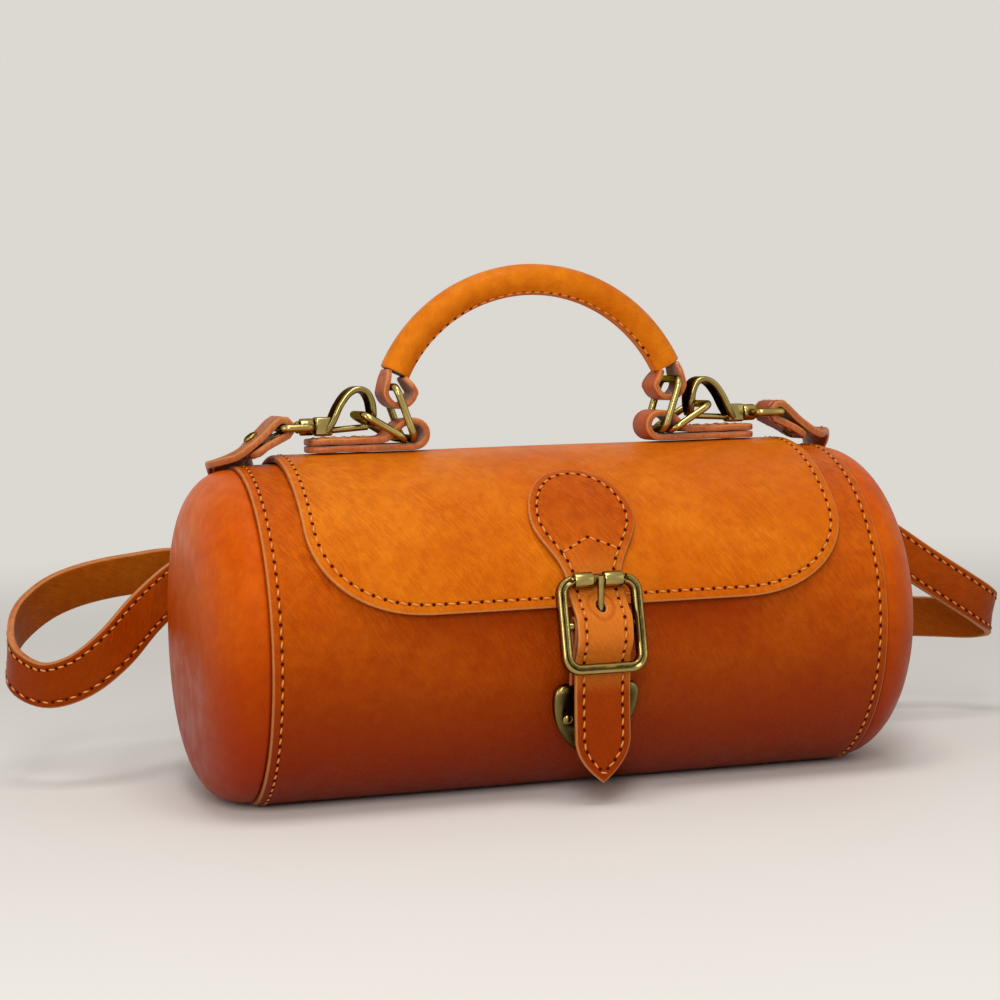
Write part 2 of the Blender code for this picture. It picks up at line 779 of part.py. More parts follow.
def make_prong():
    bar = Vector(centre_bar_point())
    tip = Vector(prong_tip())
    along = (tip - bar).normalized()
    rows = [bar + along * PRONG_BOSS * 0.7, Vector(prong_crossing()), tip, tip + along * PRONG_OVERHANG]
    prong = as_mesh(tube("buckle_prong", [(0.0, p.x, p.y) for p in rows], PRONG_RADIUS, None))
    prong.data.materials.append(brass("buckle_prong"))
    boss = cylinder("prong_boss", PRONG_BOSS, PRONG_BOSS_LENGTH, None, place_at(0, *bar, "X"), 20)
    boolean(prong, boss, "UNION")
    bore_radius = CENTRE_BAR_RADIUS + GAP
    bore = cylinder("prong_bore", bore_radius, 2 * PRONG_BOSS_LENGTH, None, place_at(0, *bar, "X"))
    boolean(prong, bore, "DIFFERENCE")


def chape_route():
    """Up from the clasp's mouth, over the centre bar, and down to a stitched lap."""
    bar_y, bar_z = centre_bar_point()
    fold = CENTRE_BAR_RADIUS + GAP + CHAPE_THICKNESS / 2
    end_angle = CLASP_TOP_ANGLE + math.degrees(CHAPE_IN_CLASP / CHAPE_MIDDLE)
    on_body = [around(end_angle - CHAPE_ANGLE_STEP * i, CHAPE_MIDDLE) for i in range(4)]
    rise = [on_body[-1], (bar_y + fold + 0.1, bar_z - 5.0), (bar_y + fold, bar_z)]
    over = arc((bar_y, bar_z), fold, 0, 180, FOLD_PIECES)
    lap = around(CHAPE_LAP_ANGLE, CHAPE_MIDDLE + CHAPE_THICKNESS + GAP)
    lap_top = around(CHAPE_LAP_ANGLE - CHAPE_ANGLE_STEP, CHAPE_MIDDLE + CHAPE_THICKNESS + 2 * GAP)
    down = [over[-1], (over[-1][0] + 1.0, bar_z - 4.2), lap_top, lap]
    return Route(on_body[:-1] + smooth(rise, 3)[:-1] + over[:-1] + smooth(down, 3))


def make_chape():
    chape = strip("chape", chape_route(), CHAPE_HALF_WIDTH, CHAPE_THICKNESS, front_plane, leather("chape"))
    bar_y, bar_z = centre_bar_point()
    size = (CHAPE_SLOT, BUCKLE_WIDTH / 2, 2 * (PRONG_BOSS + 2 * GAP))
    boolean(chape, box("chape_slot", size, None, place_at(0, bar_y, bar_z + 2 * GAP)), "DIFFERENCE")


def shield(half_width, height, inset):
    """Outline of the clasp from its flat top to its rounded point, inset from the full size."""
    top = arc_length(CLASP_TOP_ANGLE, CLASP_INNER) + inset
    half = half_width - inset
    drop = height - 2 * inset
    right = arc((half - CLASP_CORNER, top + CLASP_CORNER), CLASP_CORNER, -90, 0, CORNER_STEPS)
    for i in range(1, CLASP_POINT_PIECES + 1):
        share = i / CLASP_POINT_PIECES
        width = half * (1.0 - share**CLASP_POINT_POWER)
        right.append((max(width, 0.0), top + CLASP_CORNER + (drop - CLASP_CORNER) * share))
    left = [(-u, v) for u, v in reversed(right) if u > 0.01]
    return right + left


def make_clasp():
    outline = shield(CLASP_HALF_WIDTH, CLASP_HEIGHT, 0.0)
    clasp = wrapped("clasp_tip", [outline], CLASP_INNER, CLASP_THICKNESS, brass("clasp_tip"))
    cavity = CHAPE_THICKNESS + 2 * GAP
    inner = CHAPE_MIDDLE - cavity / 2
    top = arc_length(CLASP_TOP_ANGLE, inner)
    half = CHAPE_HALF_WIDTH + GAP
    low = top - CLASP_MOUTH_DEPTH
    high = top + CLASP_MOUTH_DEPTH
    slot = [(-half, low), (half, low), (half, high), (-half, high)]
    mouth = wrapped("clasp_mouth", [slot], inner, cavity, None)
    boolean(clasp, mouth, "DIFFERENCE")
    for side, name in ((-1, "left"), (1, "right")):
        make_rivet(clasp, name, side)
    base = shield(CLASP_HALF_WIDTH, CLASP_HEIGHT, CLASP_BASE_INSET)
    wrapped("clasp_base", [base], BARREL_RADIUS + GAP, CLASP_BASE_THICKNESS, brass("clasp_base"))


def make_rivet(clasp, name, side):
    face = CLASP_INNER + CLASP_THICKNESS
    y, z = around(RIVET_ANGLE, face)
    outwards = Matrix.Rotation(math.radians(RIVET_ANGLE), 4, "X")
    place = Matrix.Translation(Vector((side * RIVET_SPREAD, y, z)) * MM) @ outwards
    profile = dome(RIVET_HEAD, GAP, RIVET_DOME)
    profile += [(RIVET_SHANK, GAP), (RIVET_SHANK, -RIVET_DEPTH), (0.0, -RIVET_DEPTH)]
    shade(turned("clasp_rivet_" + name, profile, 16, brass("clasp_rivet_" + name), place), 50.0)
    hole = cylinder("rivet_hole_" + name, RIVET_SHANK + GAP, 2 * (RIVET_DEPTH + GAP), None, place, 16)
    boolean(clasp, hole, "DIFFERENCE")


def anchor_route(side):
    """The folded tab: along the flap, round both rings' bars, and back over itself."""
    low = ANCHOR_BASE + ANCHOR_THICKNESS / 2
    lap = low + ANCHOR_THICKNESS + GAP
    high = low + 2 * ANCHOR_FOLD
    fold_x = HANDLE_RING_X - ANCHOR_FOLD_IN
    flat = [(ANCHOR_OUTER, low), (ANCHOR_LAP_START, low), (fold_x, low)]
    fold = arc((fold_x, low + ANCHOR_FOLD), ANCHOR_FOLD, -90, -270, FOLD_PIECES)
    top = fold[-1]
    shoulder = (fold_x + ANCHOR_FOLD, high - 0.9)
    over = [top, shoulder, (ANCHOR_LAP_START - 2.0, lap + 0.6), (ANCHOR_LAP_START + 2.0, lap)]
    points = flat + fold[1:-1] + smooth(over, 3) + [(ANCHOR_OUTER, lap)]
    return Route([(side * x, z) for x, z in points])


def make_anchor(name, side):
    route = anchor_route(side)

    def half_width(distance):
        short = max(ANCHOR_CORNER - min(distance, route.length - distance), 0.0)
        return ANCHOR_HALF_WIDTH - ANCHOR_CORNER + math.sqrt(ANCHOR_CORNER**2 - short**2)

    extra = [ANCHOR_CORNER * share for share in (0.06, 0.25, 0.6)]
    stations = sorted(set(route.stations + extra + [route.length - s for s in extra]))
    route = Route([route.at(s) for s in stations])
    strip(name, route, half_width, ANCHOR_THICKNESS, long_plane, leather(name))


def ring_points(length):
    """A rounded rectangle that starts at the origin and runs along local Z."""
    outline = rounded_rectangle(RING_HALF_WIDTH, 0.0, length, RING_CORNER)
    return [(0.0, u, v) for u, v in outline]


def make_ring(name, x, angle, length):
    """A ring whose lower bar lies in an anchor. The angle leans it outwards from upright."""
    side = 1 if x > 0 else -1
    lean = Matrix.Rotation(math.radians(side * angle), 4, "Y")
    place = Matrix.Translation(Vector((x, 0, RING_BAR_HEIGHT)) * MM) @ lean
    return tube(name, ring_points(length), WIRE_RADIUS, brass(name), closed=True, sides=2, place=place)


def handle_arc(count):
    """(x, z) along the handle's middle line, a circle through its top and both ends."""
    radius = (HANDLE_END_X**2 + HANDLE_RISE**2) / (2 * HANDLE_RISE)
    half_turn = math.degrees(math.asin(HANDLE_END_X / radius))
    centre = (0.0, HANDLE_END_HEIGHT + HANDLE_RISE - radius)
    return arc(centre, radius, 90 + half_turn, 90 - half_turn, count)


def make_handle():
    line = [(x, 0.0, z) for x, z in handle_arc(HANDLE_PIECES)]
    grip = as_mesh(tube("handle_grip", line, HANDLE_RADIUS, None, sides=3))
    grip.data.materials.append(leather("handle_grip"))
    rows = [Vector(p) for p in line]
    start = rows[0] + (rows[0] - rows[1]).normalized() * HANDLE_CORE_RADIUS
    end = rows[-1] + (rows[-1] - rows[-2]).normalized() * HANDLE_CORE_RADIUS
    bore_line = [start] + rows[1:-1] + [end]
    bore = as_mesh(tube("handle_bore", bore_line, HANDLE_CORE_RADIUS + GAP, None))
    boolean(grip, bore, "DIFFERENCE")
    tube("handle_core", line, HANDLE_CORE_RADIUS, material("handle_core", (0.5, 0.42, 0.3), 0.9))


def make_handle_loop(name, side):
    """A leather loop that hangs from the end of the grip and goes round the ring's upper bar."""
    line = handle_arc(HANDLE_PIECES)
    end = Vector(line[-1])
    out = (end - Vector(line[-2])).normalized()
    across = Vector((out.y, -out.x))
    inner = end + across * HANDLE_LOOP_SPREAD + out * HANDLE_LOOP_INNER_DROP
    outer = end - across * HANDLE_LOOP_SPREAD + out * HANDLE_LOOP_OUTER_DROP
    middle = (HANDLE_END_X - HANDLE_LOOP_BACK, HANDLE_BAR[1] - HANDLE_LOOP_HANG)
    eye = arc(middle, HANDLE_LOOP_EYE, 180, 360, 2 * FOLD_PIECES)
    route = Route([(side * x, z) for x, z in [tuple(inner), *eye, tuple(outer)]])
    strip(name, route, HANDLE_LOOP_HALF_WIDTH, HANDLE_LOOP_THICKNESS, long_plane, leather(name))


def gate_pivot():
    return HOOK_BLOCK_X - HOOK_BLOCK_LENGTH / 2 + GATE_BOSS + GAP, HOOK_AXIS_HEIGHT - GATE_DROP


def hook_line():
    """(x, z) along the hook's band from its block, over the top, to its nose, set by hand."""
    bow = [(10.5, -5.6), (8.2, -1.4), (5.9, 3.3), (2.9, 7.2), (-0.3, 8.8)]
    bow += [(-3.3, 8.0), (-5.0, 5.1), (-5.6, 1.4), (-5.7, -4.0)]
    return smooth([(HOOK_CENTRE_X + x, HOOK_CENTRE_HEIGHT + z) for x, z in bow], HOOK_PIECES)


def make_hook(name, side):
    route = Route([(side * x, z) for x, z in hook_line()])

    def half_width(distance):
        """Half the band's width, less towards its root and its nose."""
        root = max(1.0 - distance / HOOK_TAPER, 0.0)
        nose = max(1.0 - (route.length - distance) / HOOK_TAPER, 0.0)
        width = HOOK_HALF_WIDTH - (HOOK_HALF_WIDTH - HOOK_ROOT_HALF_WIDTH) * root**2
        return width - (HOOK_HALF_WIDTH - HOOK_NOSE_HALF_WIDTH) * nose**2

    hook = strip("hook_body_" + name, route, half_width, HOOK_THICKNESS, long_plane, brass("hook_body_" + name))
    size = (HOOK_BLOCK_LENGTH, 2 * HOOK_BLOCK_HALF, 2 * HOOK_BLOCK_HALF)
    block = box("hook_block_" + name, size, None, place_at(side * HOOK_BLOCK_X, 0, HOOK_AXIS_HEIGHT))
    soften(block, HOOK_BLOCK_EDGE)
    boolean(hook, block, "UNION")
    block_end = HOOK_BLOCK_X + HOOK_BLOCK_LENGTH / 2
    head_start = block_end + GAP + EYE_BOSS_LENGTH + GAP
    head_middle = head_start + NECK_HEAD_THICKNESS / 2
    neck_place = place_at(side * (HOOK_BLOCK_X + head_middle) / 2, 0, HOOK_AXIS_HEIGHT, "X")
    neck_length = head_middle - HOOK_BLOCK_X
    boolean(hook, cylinder("hook_neck_" + name, NECK_RADIUS, neck_length, None, neck_place, 16), "UNION")
    head_place = place_at(side * head_middle, 0, HOOK_AXIS_HEIGHT, "X")
    head = cylinder("hook_head_" + name, NECK_HEAD_RADIUS, NECK_HEAD_THICKNESS, None, head_place, 16)
    boolean(hook, head, "UNION")
    pivot_x, pivot_z = gate_pivot()
    inner_end = pivot_x + GATE_BOSS + GAP
    outer_end = HOOK_BLOCK_X - HOOK_BLOCK_LENGTH
    slot_size = (inner_end - outer_end, GATE_SLOT + 2 * GAP, 2 * (GATE_BOSS + GAP))
    slot_place = place_at(side * (inner_end + outer_end) / 2, 0, pivot_z)
    slot = box("gate_slot_" + name, slot_size, None, slot_place)
    boolean(hook, slot, "DIFFERENCE")
    pin_place = place_at(side * pivot_x, 0, pivot_z, "Y")
    width = 2 * HOOK_BLOCK_HALF
    hole = cylinder("gate_pin_hole_" + name, GATE_PIN_RADIUS + GAP, 2 * width, None, pin_place, 16)
    boolean(hook, hole, "DIFFERENCE")
    cylinder("gate_pin_" + name, GATE_PIN_RADIUS, width, brass("gate_pin_" + name), pin_place, 16)
    make_gate(name, side)


def make_gate(name, side):
    pivot_x, pivot_z = gate_pivot()
    nose_x, nose_z = hook_line()[-1]
    end_x = nose_x + HOOK_THICKNESS / 2 + GATE_OVERHANG
    line = [(side * pivot_x, 0.0, pivot_z), (side * end_x, 0.0, nose_z)]
    gate = as_mesh(tube("hook_gate_" + name, line, GATE_RADIUS, None))
    gate.data.materials.append(brass("hook_gate_" + name))
    boss_place = place_at(side * pivot_x, 0, pivot_z, "Y")
    boolean(gate, cylinder("gate_boss_" + name, GATE_BOSS, GATE_SLOT, None, boss_place, 16), "UNION")
    bore = cylinder("gate_bore_" + name, GATE_PIN_RADIUS + GAP, 2 * GATE_SLOT, None, boss_place, 16)
    boolean(gate, bore, "DIFFERENCE")


def soften(made, width):
    edge = made.modifiers.new("Edge", "BEVEL")
    edge.width = width * MM
    edge.segments = 2
    edge.limit_method = "ANGLE"


def make_eye(name, side):
    """The swivel's loop: a boss on the hook's neck and a wide bar for the strap."""
    block_end = HOOK_BLOCK_X + HOOK_BLOCK_LENGTH / 2
    boss_x = block_end + GAP + EYE_BOSS_LENGTH / 2
    outline = rounded_rectangle(EYE_HALF_WIDTH, boss_x, EYE_BAR_X, EYE_CORNER)
    line = [(side * x, y, HOOK_AXIS_HEIGHT) for y, x in outline]
    eye = as_mesh(tube("strap_eye_" + name, line, WIRE_RADIUS, None, closed=True))
    eye.data.materials.append(brass("strap_eye_" + name))
    place = place_at(side * boss_x, 0, HOOK_AXIS_HEIGHT, "X")
    boolean(eye, cylinder("eye_boss_" + name, EYE_BOSS_RADIUS, EYE_BOSS_LENGTH, None, place, 20), "UNION")
    bore = cylinder("eye_bore_" + name, NECK_RADIUS + GAP, 2 * EYE_BOSS_LENGTH, None, place, 16)
    boolean(eye, bore, "DIFFERENCE")


def strap_fold(side):
    """Middle line of the strap's end from its loose lap, round the eye's bar, to the main run."""
    fall = math.radians(SHOULDER_FALL)
    along = Vector((math.cos(fall), -math.sin(fall)))
    out = Vector((math.sin(fall), math.cos(fall)))
    bar = Vector((EYE_BAR_X, HOOK_AXIS_HEIGHT))
    bend = WIRE_RADIUS + GAP + SHOULDER_THICKNESS / 2
    closed = SHOULDER_THICKNESS / 2 + GAP / 2
    heading = math.degrees(math.atan2(out.y, out.x))
    pinched = closed + SHOULDER_SLACK
    lower = [bar + along * SHOULDER_LAP - out * closed, bar + along * SHOULDER_PINCH - out * pinched]
    upper = [bar + along * SHOULDER_PINCH + out * pinched, bar + along * SHOULDER_LAP + out * closed]
    fold = [Vector(p) for p in arc(tuple(bar), bend, heading + 180, heading, FOLD_PIECES)]
    return [(side * p.x, 0.0, p.y) for p in lower + fold + upper]


def shoulder_route():
    """(position, direction across the strap) by hand, from the left hook round the back.

    Positions are in barrel radii, at each side from the eye's bar and behind from the origin.
    """
    left = [
        ((-0.27, 0.12, -0.17), (0.75, 0.6, 0.1)),
        ((-0.24, 0.33, -0.20), (1.0, 0.25, 0.15)),
        ((-0.18, 0.59, -0.29), (0.98, 0.1, 0.2)),
        ((-0.16, 0.83, -0.45), (0.98, 0.0, 0.15)),
        ((-0.16, 1.03, -0.63), (1.0, 0.0, 0.0)),
        ((-0.21, 1.11, -0.79), (0.93, 0.0, -0.35)),
        ((-0.31, 1.10, -0.90), (0.7, 0.0, -0.7)),
        ((-0.49, 1.00, -0.99), (0.5, 0.0, -0.85)),
        ((-0.70, 0.83, -1.13), (0.52, 0.0, -0.85)),
        ((-0.92, 0.66, -1.32), (0.58, 0.0, -0.81)),
        ((-1.13, 0.68, -1.47), (0.4, 0.0, -0.9)),
        ((-1.34, 0.77, -1.52), (0.2, 0.0, -1.0)),
        ((-1.49, 0.96, -1.42), (0.0, 0.0, -1.0)),
        ((-1.45, 1.18, -1.23), (-0.1, 0.1, -1.0)),
        ((-1.27, 1.34, -1.08), (-0.1, 0.2, -1.0)),
        ((-1.03, 1.43, -0.99), (0.0, 0.3, -1.0)),
        ((-0.69, 1.50, -0.94), (0.0, 0.3, -1.0)),
        ((-0.31, 1.57, -0.94), (0.0, 0.2, -1.0)),
    ]
    behind = [
        ((-1.32, 1.72, 1.01), (0.0, 0.0, -1.0)),
        ((-0.70, 1.95, 0.59), (0.0, 0.0, -1.0)),
        ((0.00, 2.07, 0.31), (0.0, 0.0, -1.0)),
        ((0.73, 1.95, 0.35), (0.0, 0.0, -1.0)),
        ((1.46, 1.72, 0.52), (0.0, 0.0, -1.0)),
        ((2.17, 1.50, 0.64), (0.0, 0.0, -1.0)),
    ]
    right = [
        ((1.13, 1.36, -1.47), (0.0, 0.0, -1.0)),
        ((1.48, 1.25, -1.49), (0.0, 0.0, -1.0)),
        ((1.72, 1.13, -1.50), (0.0, 0.0, -1.0)),
        ((1.89, 0.97, -1.50), (0.0, 0.0, -1.0)),
        ((1.95, 0.81, -1.46), (-0.2, 0.0, -1.0)),
        ((1.83, 0.69, -1.38), (-0.4, 0.0, -0.9)),
        ((1.62, 0.66, -1.25), (-0.52, 0.0, -0.85)),
        ((1.37, 0.67, -1.09), (-0.55, 0.0, -0.83)),
        ((1.13, 0.70, -0.92), (-0.55, 0.0, -0.83)),
        ((0.96, 0.77, -0.80), (-0.53, -0.1, -0.83)),
        ((0.80, 0.83, -0.67), (-0.5, -0.35, -0.75)),
        ((0.67, 0.83, -0.52), (-0.5, -0.6, -0.55)),
        ((0.56, 0.70, -0.36), (-0.5, -0.82, -0.15)),
        ((0.45, 0.47, -0.23), (-0.35, -0.92, 0.1)),
        ((0.34, 0.21, -0.14), (-0.15, -1.0, 0.05)),
    ]
    bar = Vector((EYE_BAR_X, 0.0, HOOK_AXIS_HEIGHT))
    mirrored_bar = Vector((-EYE_BAR_X, 0.0, HOOK_AXIS_HEIGHT))
    middle = [(mirrored_bar + Vector(p) * BARREL_RADIUS, across) for p, across in left]
    middle += [(Vector(p) * BARREL_RADIUS, across) for p, across in behind]
    middle += [(bar + Vector(p) * BARREL_RADIUS, across) for p, across in right]
    start = [(p, (0.0, 1.0, 0.0)) for p in strap_fold(-1)]
    end = [(p, (0.0, -1.0, 0.0)) for p in reversed(strap_fold(1))]
    return start, middle, end


def make_shoulder_strap():
    start, middle, end = shoulder_route()
    rows = start + middle + end
    positions = [row[0] for row in rows]
    directions = [row[1] for row in rows]
    first = len(start) - 1
    last = len(rows) - len(end)
    line = [Vector(p) for p in positions[:first]]
    across = [Vector(d) for d in directions[:first]]
    line += smooth(positions[first : last + 1], SHOULDER_PIECES)
    across += smooth(directions[first : last + 1], SHOULDER_PIECES)
    line += [Vector(p) for p in positions[last + 1 :]]
    across += [Vector(d) for d in directions[last + 1 :]]
    route = Route(line)

    def place(u, v):
        index = max(i for i, s in enumerate(route.stations) if s <= v + 1e-3)
        index = min(index, len(line) - 2)
        span = route.stations[index + 1] - route.stations[index]
        share = min(max((v - route.stations[index]) / span, 0.0), 1.0)
        point = line[index].lerp(line[index + 1], share)
        ahead = line[min(index + 1 + (share > 0.5), len(line) - 1)]
        behind = line[max(index - (share < 0.5), 0)]
        tangent = (ahead - behind).normalized()
        side = across[index].lerp(across[index + 1], share)
        side = (side - tangent * side.dot(tangent)).normalized()
        return point + side * u

    outline = rounded_rectangle(SHOULDER_HALF_WIDTH, 0.0, route.length, SHOULDER_CORNER)
    blank = flat_blank("shoulder_strap", [outline], route.stations[1:-1])
    strap = bent("shoulder_strap", blank, place, SHOULDER_THICKNESS, 0.0, leather("shoulder_strap"))
    print("shoulder strap length in mm:", round(route.length, 1))
    for side, name in ((-1, "left"), (1, "right")):
        make_stud(strap, name, side)


def make_stud(strap, name, side):
    """The rivet that closes the strap's folded end."""
    fall = math.radians(SHOULDER_FALL)
    distance = SHOULDER_LAP - STUD_FROM_END
    x = EYE_BAR_X + distance * math.cos(fall)
    z = HOOK_AXIS_HEIGHT - distance * math.sin(fall)
    lean = Matrix.Rotation(side * fall, 4, "Y")
    place = Matrix.Translation(Vector((side * x, 0, z)) * MM) @ lean
    face = SHOULDER_THICKNESS + GAP / 2 + SHOULDER_SLACK + GAP
    profile = dome(STUD_RADIUS, face, STUD_DOME)
    profile += [
        (STUD_SHANK, face),
        (STUD_SHANK, -face),
        (STUD_BACK_RADIUS, -face),
        (STUD_BACK_RADIUS, -face - STUD_BACK_THICKNESS),
        (0.0, -face - STUD_BACK_THICKNESS),
    ]
    shade(turned("strap_rivet_" + name, profile, 16, brass("strap_rivet_" + name), place), 50.0)
    hole = cylinder("stud_hole_" + name, STUD_SHANK + GAP, 2 * face + 4 * GAP, None, place, 16)
    boolean(strap, hole, "DIFFERENCE")


def build():
    make_body_panel()
    make_flap()
    make_closure_strap()
    make_buckle()
    make_roller()
    make_prong()
    make_chape()
    make_clasp()
    make_handle()
    make_shoulder_strap()
    for side, name in ((-1, "left"), (1, "right")):
        make_end_cap("end_cap_" + name, side)
        make_anchor("anchor_tab_" + name, side)
        make_ring("handle_ring_" + name, side * HANDLE_RING_X, HANDLE_RING_LEAN, HANDLE_RING_LENGTH)
        make_ring("strap_ring_" + name, side * STRAP_RING_X, 90.0 - STRAP_RING_RISE, STRAP_RING_LENGTH)
        make_handle_loop("handle_loop_" + name, side)
        make_hook(name, side)
        make_eye(name, side)
    hang_on_pivots()


def hang_on_pivots():
    """Gives each moving group an empty on its own axis, in the order in which they carry each other."""
    flap_names = ["flap_front", "closure_strap", "buckle_frame", "buckle_roller", "chape", "clasp_tip"]
    flap_names += ["clasp_rivet_left", "clasp_rivet_right"]
    flap = pivot("flap_pivot", 0, *around(FLAP_HINGE_ANGLE, FLAP_OUTER), flap_names)
    carry(flap, [pivot("prong_pivot", 0, *centre_bar_point(), ["buckle_prong"])])
    bar_x, bar_z = HANDLE_BAR
    handle_names = ["handle_grip", "handle_core", "handle_loop_left", "handle_loop_right"]
    handle = pivot("handle_pivot", -bar_x, 0, bar_z, handle_names)
    carry(bpy.data.objects["handle_ring_left"], [handle])
    gate_x, gate_z = gate_pivot()
    for side, name in ((-1, "left"), (1, "right")):
        hook_names = ["hook_body_" + name, "gate_pin_" + name]
        hook = pivot("hook_pivot_" + name, side * HOOK_BLOCK_X, 0, HOOK_AXIS_HEIGHT, hook_names)
        gate = pivot("gate_pivot_" + name, side * gate_x, 0, gate_z, ["hook_gate_" + name])
        carry(hook, [gate])


clear_scene()
satchel = collection("Satchel")
cutters = collection("Cutters", hidden=True)
build()
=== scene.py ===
import math

import bmesh
import bpy
import numpy as np
from mathutils import Matrix, Vector, noise


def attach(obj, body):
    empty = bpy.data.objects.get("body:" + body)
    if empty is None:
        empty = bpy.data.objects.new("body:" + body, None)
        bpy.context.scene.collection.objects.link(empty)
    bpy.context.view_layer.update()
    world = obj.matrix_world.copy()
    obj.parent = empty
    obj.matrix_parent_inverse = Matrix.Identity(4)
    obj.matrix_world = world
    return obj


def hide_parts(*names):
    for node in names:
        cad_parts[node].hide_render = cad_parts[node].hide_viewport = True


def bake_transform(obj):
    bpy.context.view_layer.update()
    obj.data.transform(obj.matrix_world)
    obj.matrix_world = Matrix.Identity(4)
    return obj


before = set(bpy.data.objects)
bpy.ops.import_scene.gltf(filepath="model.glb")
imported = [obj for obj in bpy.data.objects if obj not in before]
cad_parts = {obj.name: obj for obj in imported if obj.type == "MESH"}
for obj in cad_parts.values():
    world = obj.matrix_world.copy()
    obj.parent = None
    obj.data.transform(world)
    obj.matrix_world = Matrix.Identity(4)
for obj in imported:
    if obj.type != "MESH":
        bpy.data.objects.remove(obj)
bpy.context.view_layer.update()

mm = 0.001

# The barrel that all is wrapped round: angles run from the top towards the front
barrel = {"radius": 57.5 * mm, "height": 55.0 * mm}
play = 0.3 * mm  # room between parts that lie on each other or turn on each other


def deselectAll():
    bpy.ops.object.select_all(action="DESELECT")


def makeActive(piece):
    deselectAll()
    piece.select_set(True)
    bpy.context.view_layer.objects.active = piece


def applyModifiers(piece):
    makeActive(piece)
    for change in list(piece.modifiers):
        bpy.ops.object.modifier_apply(modifier=change.name)


def editAll(piece, *steps):
    # Runs edit-mode steps on the whole piece
    makeActive(piece)
    bpy.ops.object.mode_set(mode="EDIT")
    bpy.ops.mesh.select_all(action="SELECT")
    for step in steps:
        step()
    bpy.ops.object.mode_set(mode="OBJECT")


def smoothShade(piece, angle=50.0):
    makeActive(piece)
    bpy.ops.object.shade_smooth_by_angle(angle=math.radians(angle))


# Materials

def hexColour(code):
    # Linear colour of a six-figure sRGB code
    parts = [int(code[i:i + 2], 16) / 255 for i in (0, 2, 4)]
    return tuple(c / 12.92 if c <= 0.04045 else ((c + 0.055) / 1.055) ** 2.4 for c in parts) + (1.0,)


class NodeBoard:
    # A material's nodes, joined as they are added
    def __init__(self, name):
        self.material = bpy.data.materials.new(name)
        self.material.use_nodes = True
        self.tree = self.material.node_tree
        self.shader = self.tree.nodes["Principled BSDF"]
        self.place = self.add("ShaderNodeTexCoord").outputs["Object"]

    def add(self, kind, **settings):
        node = self.tree.nodes.new(kind)
        for key, value in settings.items():
            setattr(node, key, value)
        return node

    def feed(self, socket, value):
        if isinstance(value, bpy.types.NodeSocket):
            self.tree.links.new(value, socket)
        else:
            socket.default_value = value

    def math(self, operation, first, second=0.0):
        node = self.add("ShaderNodeMath", operation=operation)
        self.feed(node.inputs[0], first)
        self.feed(node.inputs[1], second)
        return node.outputs[0]

    def noise(self, scale, detail=3.0, roughness=0.55, place=None, distortion=0.0):
        node = self.add("ShaderNodeTexNoise")
        self.feed(node.inputs["Vector"], place or self.place)
        node.inputs["Scale"].default_value = scale
        node.inputs["Detail"].default_value = detail
        node.inputs["Roughness"].default_value = roughness
        node.inputs["Distortion"].default_value = distortion
        return node.outputs["Fac"]

    def cells(self, scale, place):
        node = self.add("ShaderNodeTexVoronoi", feature="DISTANCE_TO_EDGE")
        self.feed(node.inputs["Vector"], place)
        node.inputs["Scale"].default_value = scale
        return node.outputs["Distance"]

    def stretched(self, scale, turn=(0.0, 0.0, 0.0), place=None):
        # Longer along local X, Y and Z by these factors, once turned
        node = self.add("ShaderNodeMapping", vector_type="TEXTURE")
        self.feed(node.inputs["Vector"], place or self.place)
        node.inputs["Scale"].default_value = scale
        node.inputs["Rotation"].default_value = [math.radians(angle) for angle in turn]
        return node.outputs["Vector"]

    def spread(self, value, low, high, newLow=0.0, newHigh=1.0):
        node = self.add("ShaderNodeMapRange", interpolation_type="SMOOTHSTEP")
        self.feed(node.inputs["Value"], value)
        for key, number in zip(("From Min", "From Max", "To Min", "To Max"), (low, high, newLow, newHigh)):
            node.inputs[key].default_value = number
        return node.outputs["Result"]

    def mix(self, share, first, second):
        node = self.add("ShaderNodeMix", data_type="RGBA", blend_type="MIX")
        self.feed(node.inputs["Factor"], share)
        self.feed(node.inputs["A"], first)
        self.feed(node.inputs["B"], second)
        return node.outputs["Result"]

    def attribute(self, name, output="Fac"):
        return self.add("ShaderNodeAttribute", attribute_name=name).outputs[output]

    def bump(self, height, strength, distance, below=None):
        node = self.add("ShaderNodeBump")
        node.inputs["Strength"].default_value = strength
        node.inputs["Distance"].default_value = distance
        self.feed(node.inputs["Height"], height)
        if below is not None:
            self.feed(node.inputs["Normal"], below)
        return node.outputs["Normal"]


# Vegetable-tanned leather: bright orange where it is thin of dye, red-brown where the dye is deeper; the lowest tone is
# for painted shade on the underside and under the flap
leatherTones = {
    "body": {"light": "d46808", "main": "c65602", "deep": "8c2a00", "lowest": "7a1a00", "grain": 1.1, "line": 3.0},
    "cap": {"light": "d4620a", "main": "c65000", "deep": "963000", "lowest": "881e00", "grain": 0.4, "line": 400.0},
    "flap": {"light": "dc7810", "main": "cc6204", "deep": "a84200", "lowest": "b04800", "grain": 1.0, "line": 3.0},
    "patch": {"light": "cc600a", "main": "bc4f02", "deep": "862a00", "lowest": "8a2800", "grain": 1.2, "line": 2.6},
    "strap": {"light": "b04c08", "main": "9c3a00", "deep": "702000", "lowest": "7a2600", "grain": 0.5, "line": 2.4},
    "strapBack": {"light": "ba640c", "main": "a65206", "deep": "7a3000", "lowest": "964208", "grain": 0.9,
                  "line": 400.0},
    "handle": {"light": "da7c14", "main": "c86808", "deep": "a44200", "lowest": "b65200", "grain": 0.3, "line": 400.0},
    "anchor": {"light": "c85e0c", "main": "b44a02", "deep": "7e2800", "lowest": "963800", "grain": 0.5, "line": 2.4},
}
grainFinish = {"patchScale": 26.0, "streakScale": 1100.0, "streakLength": 6.0, "slant": 56.0, "poreScale": 1500.0,
               "roughness": (0.32, 0.46)}


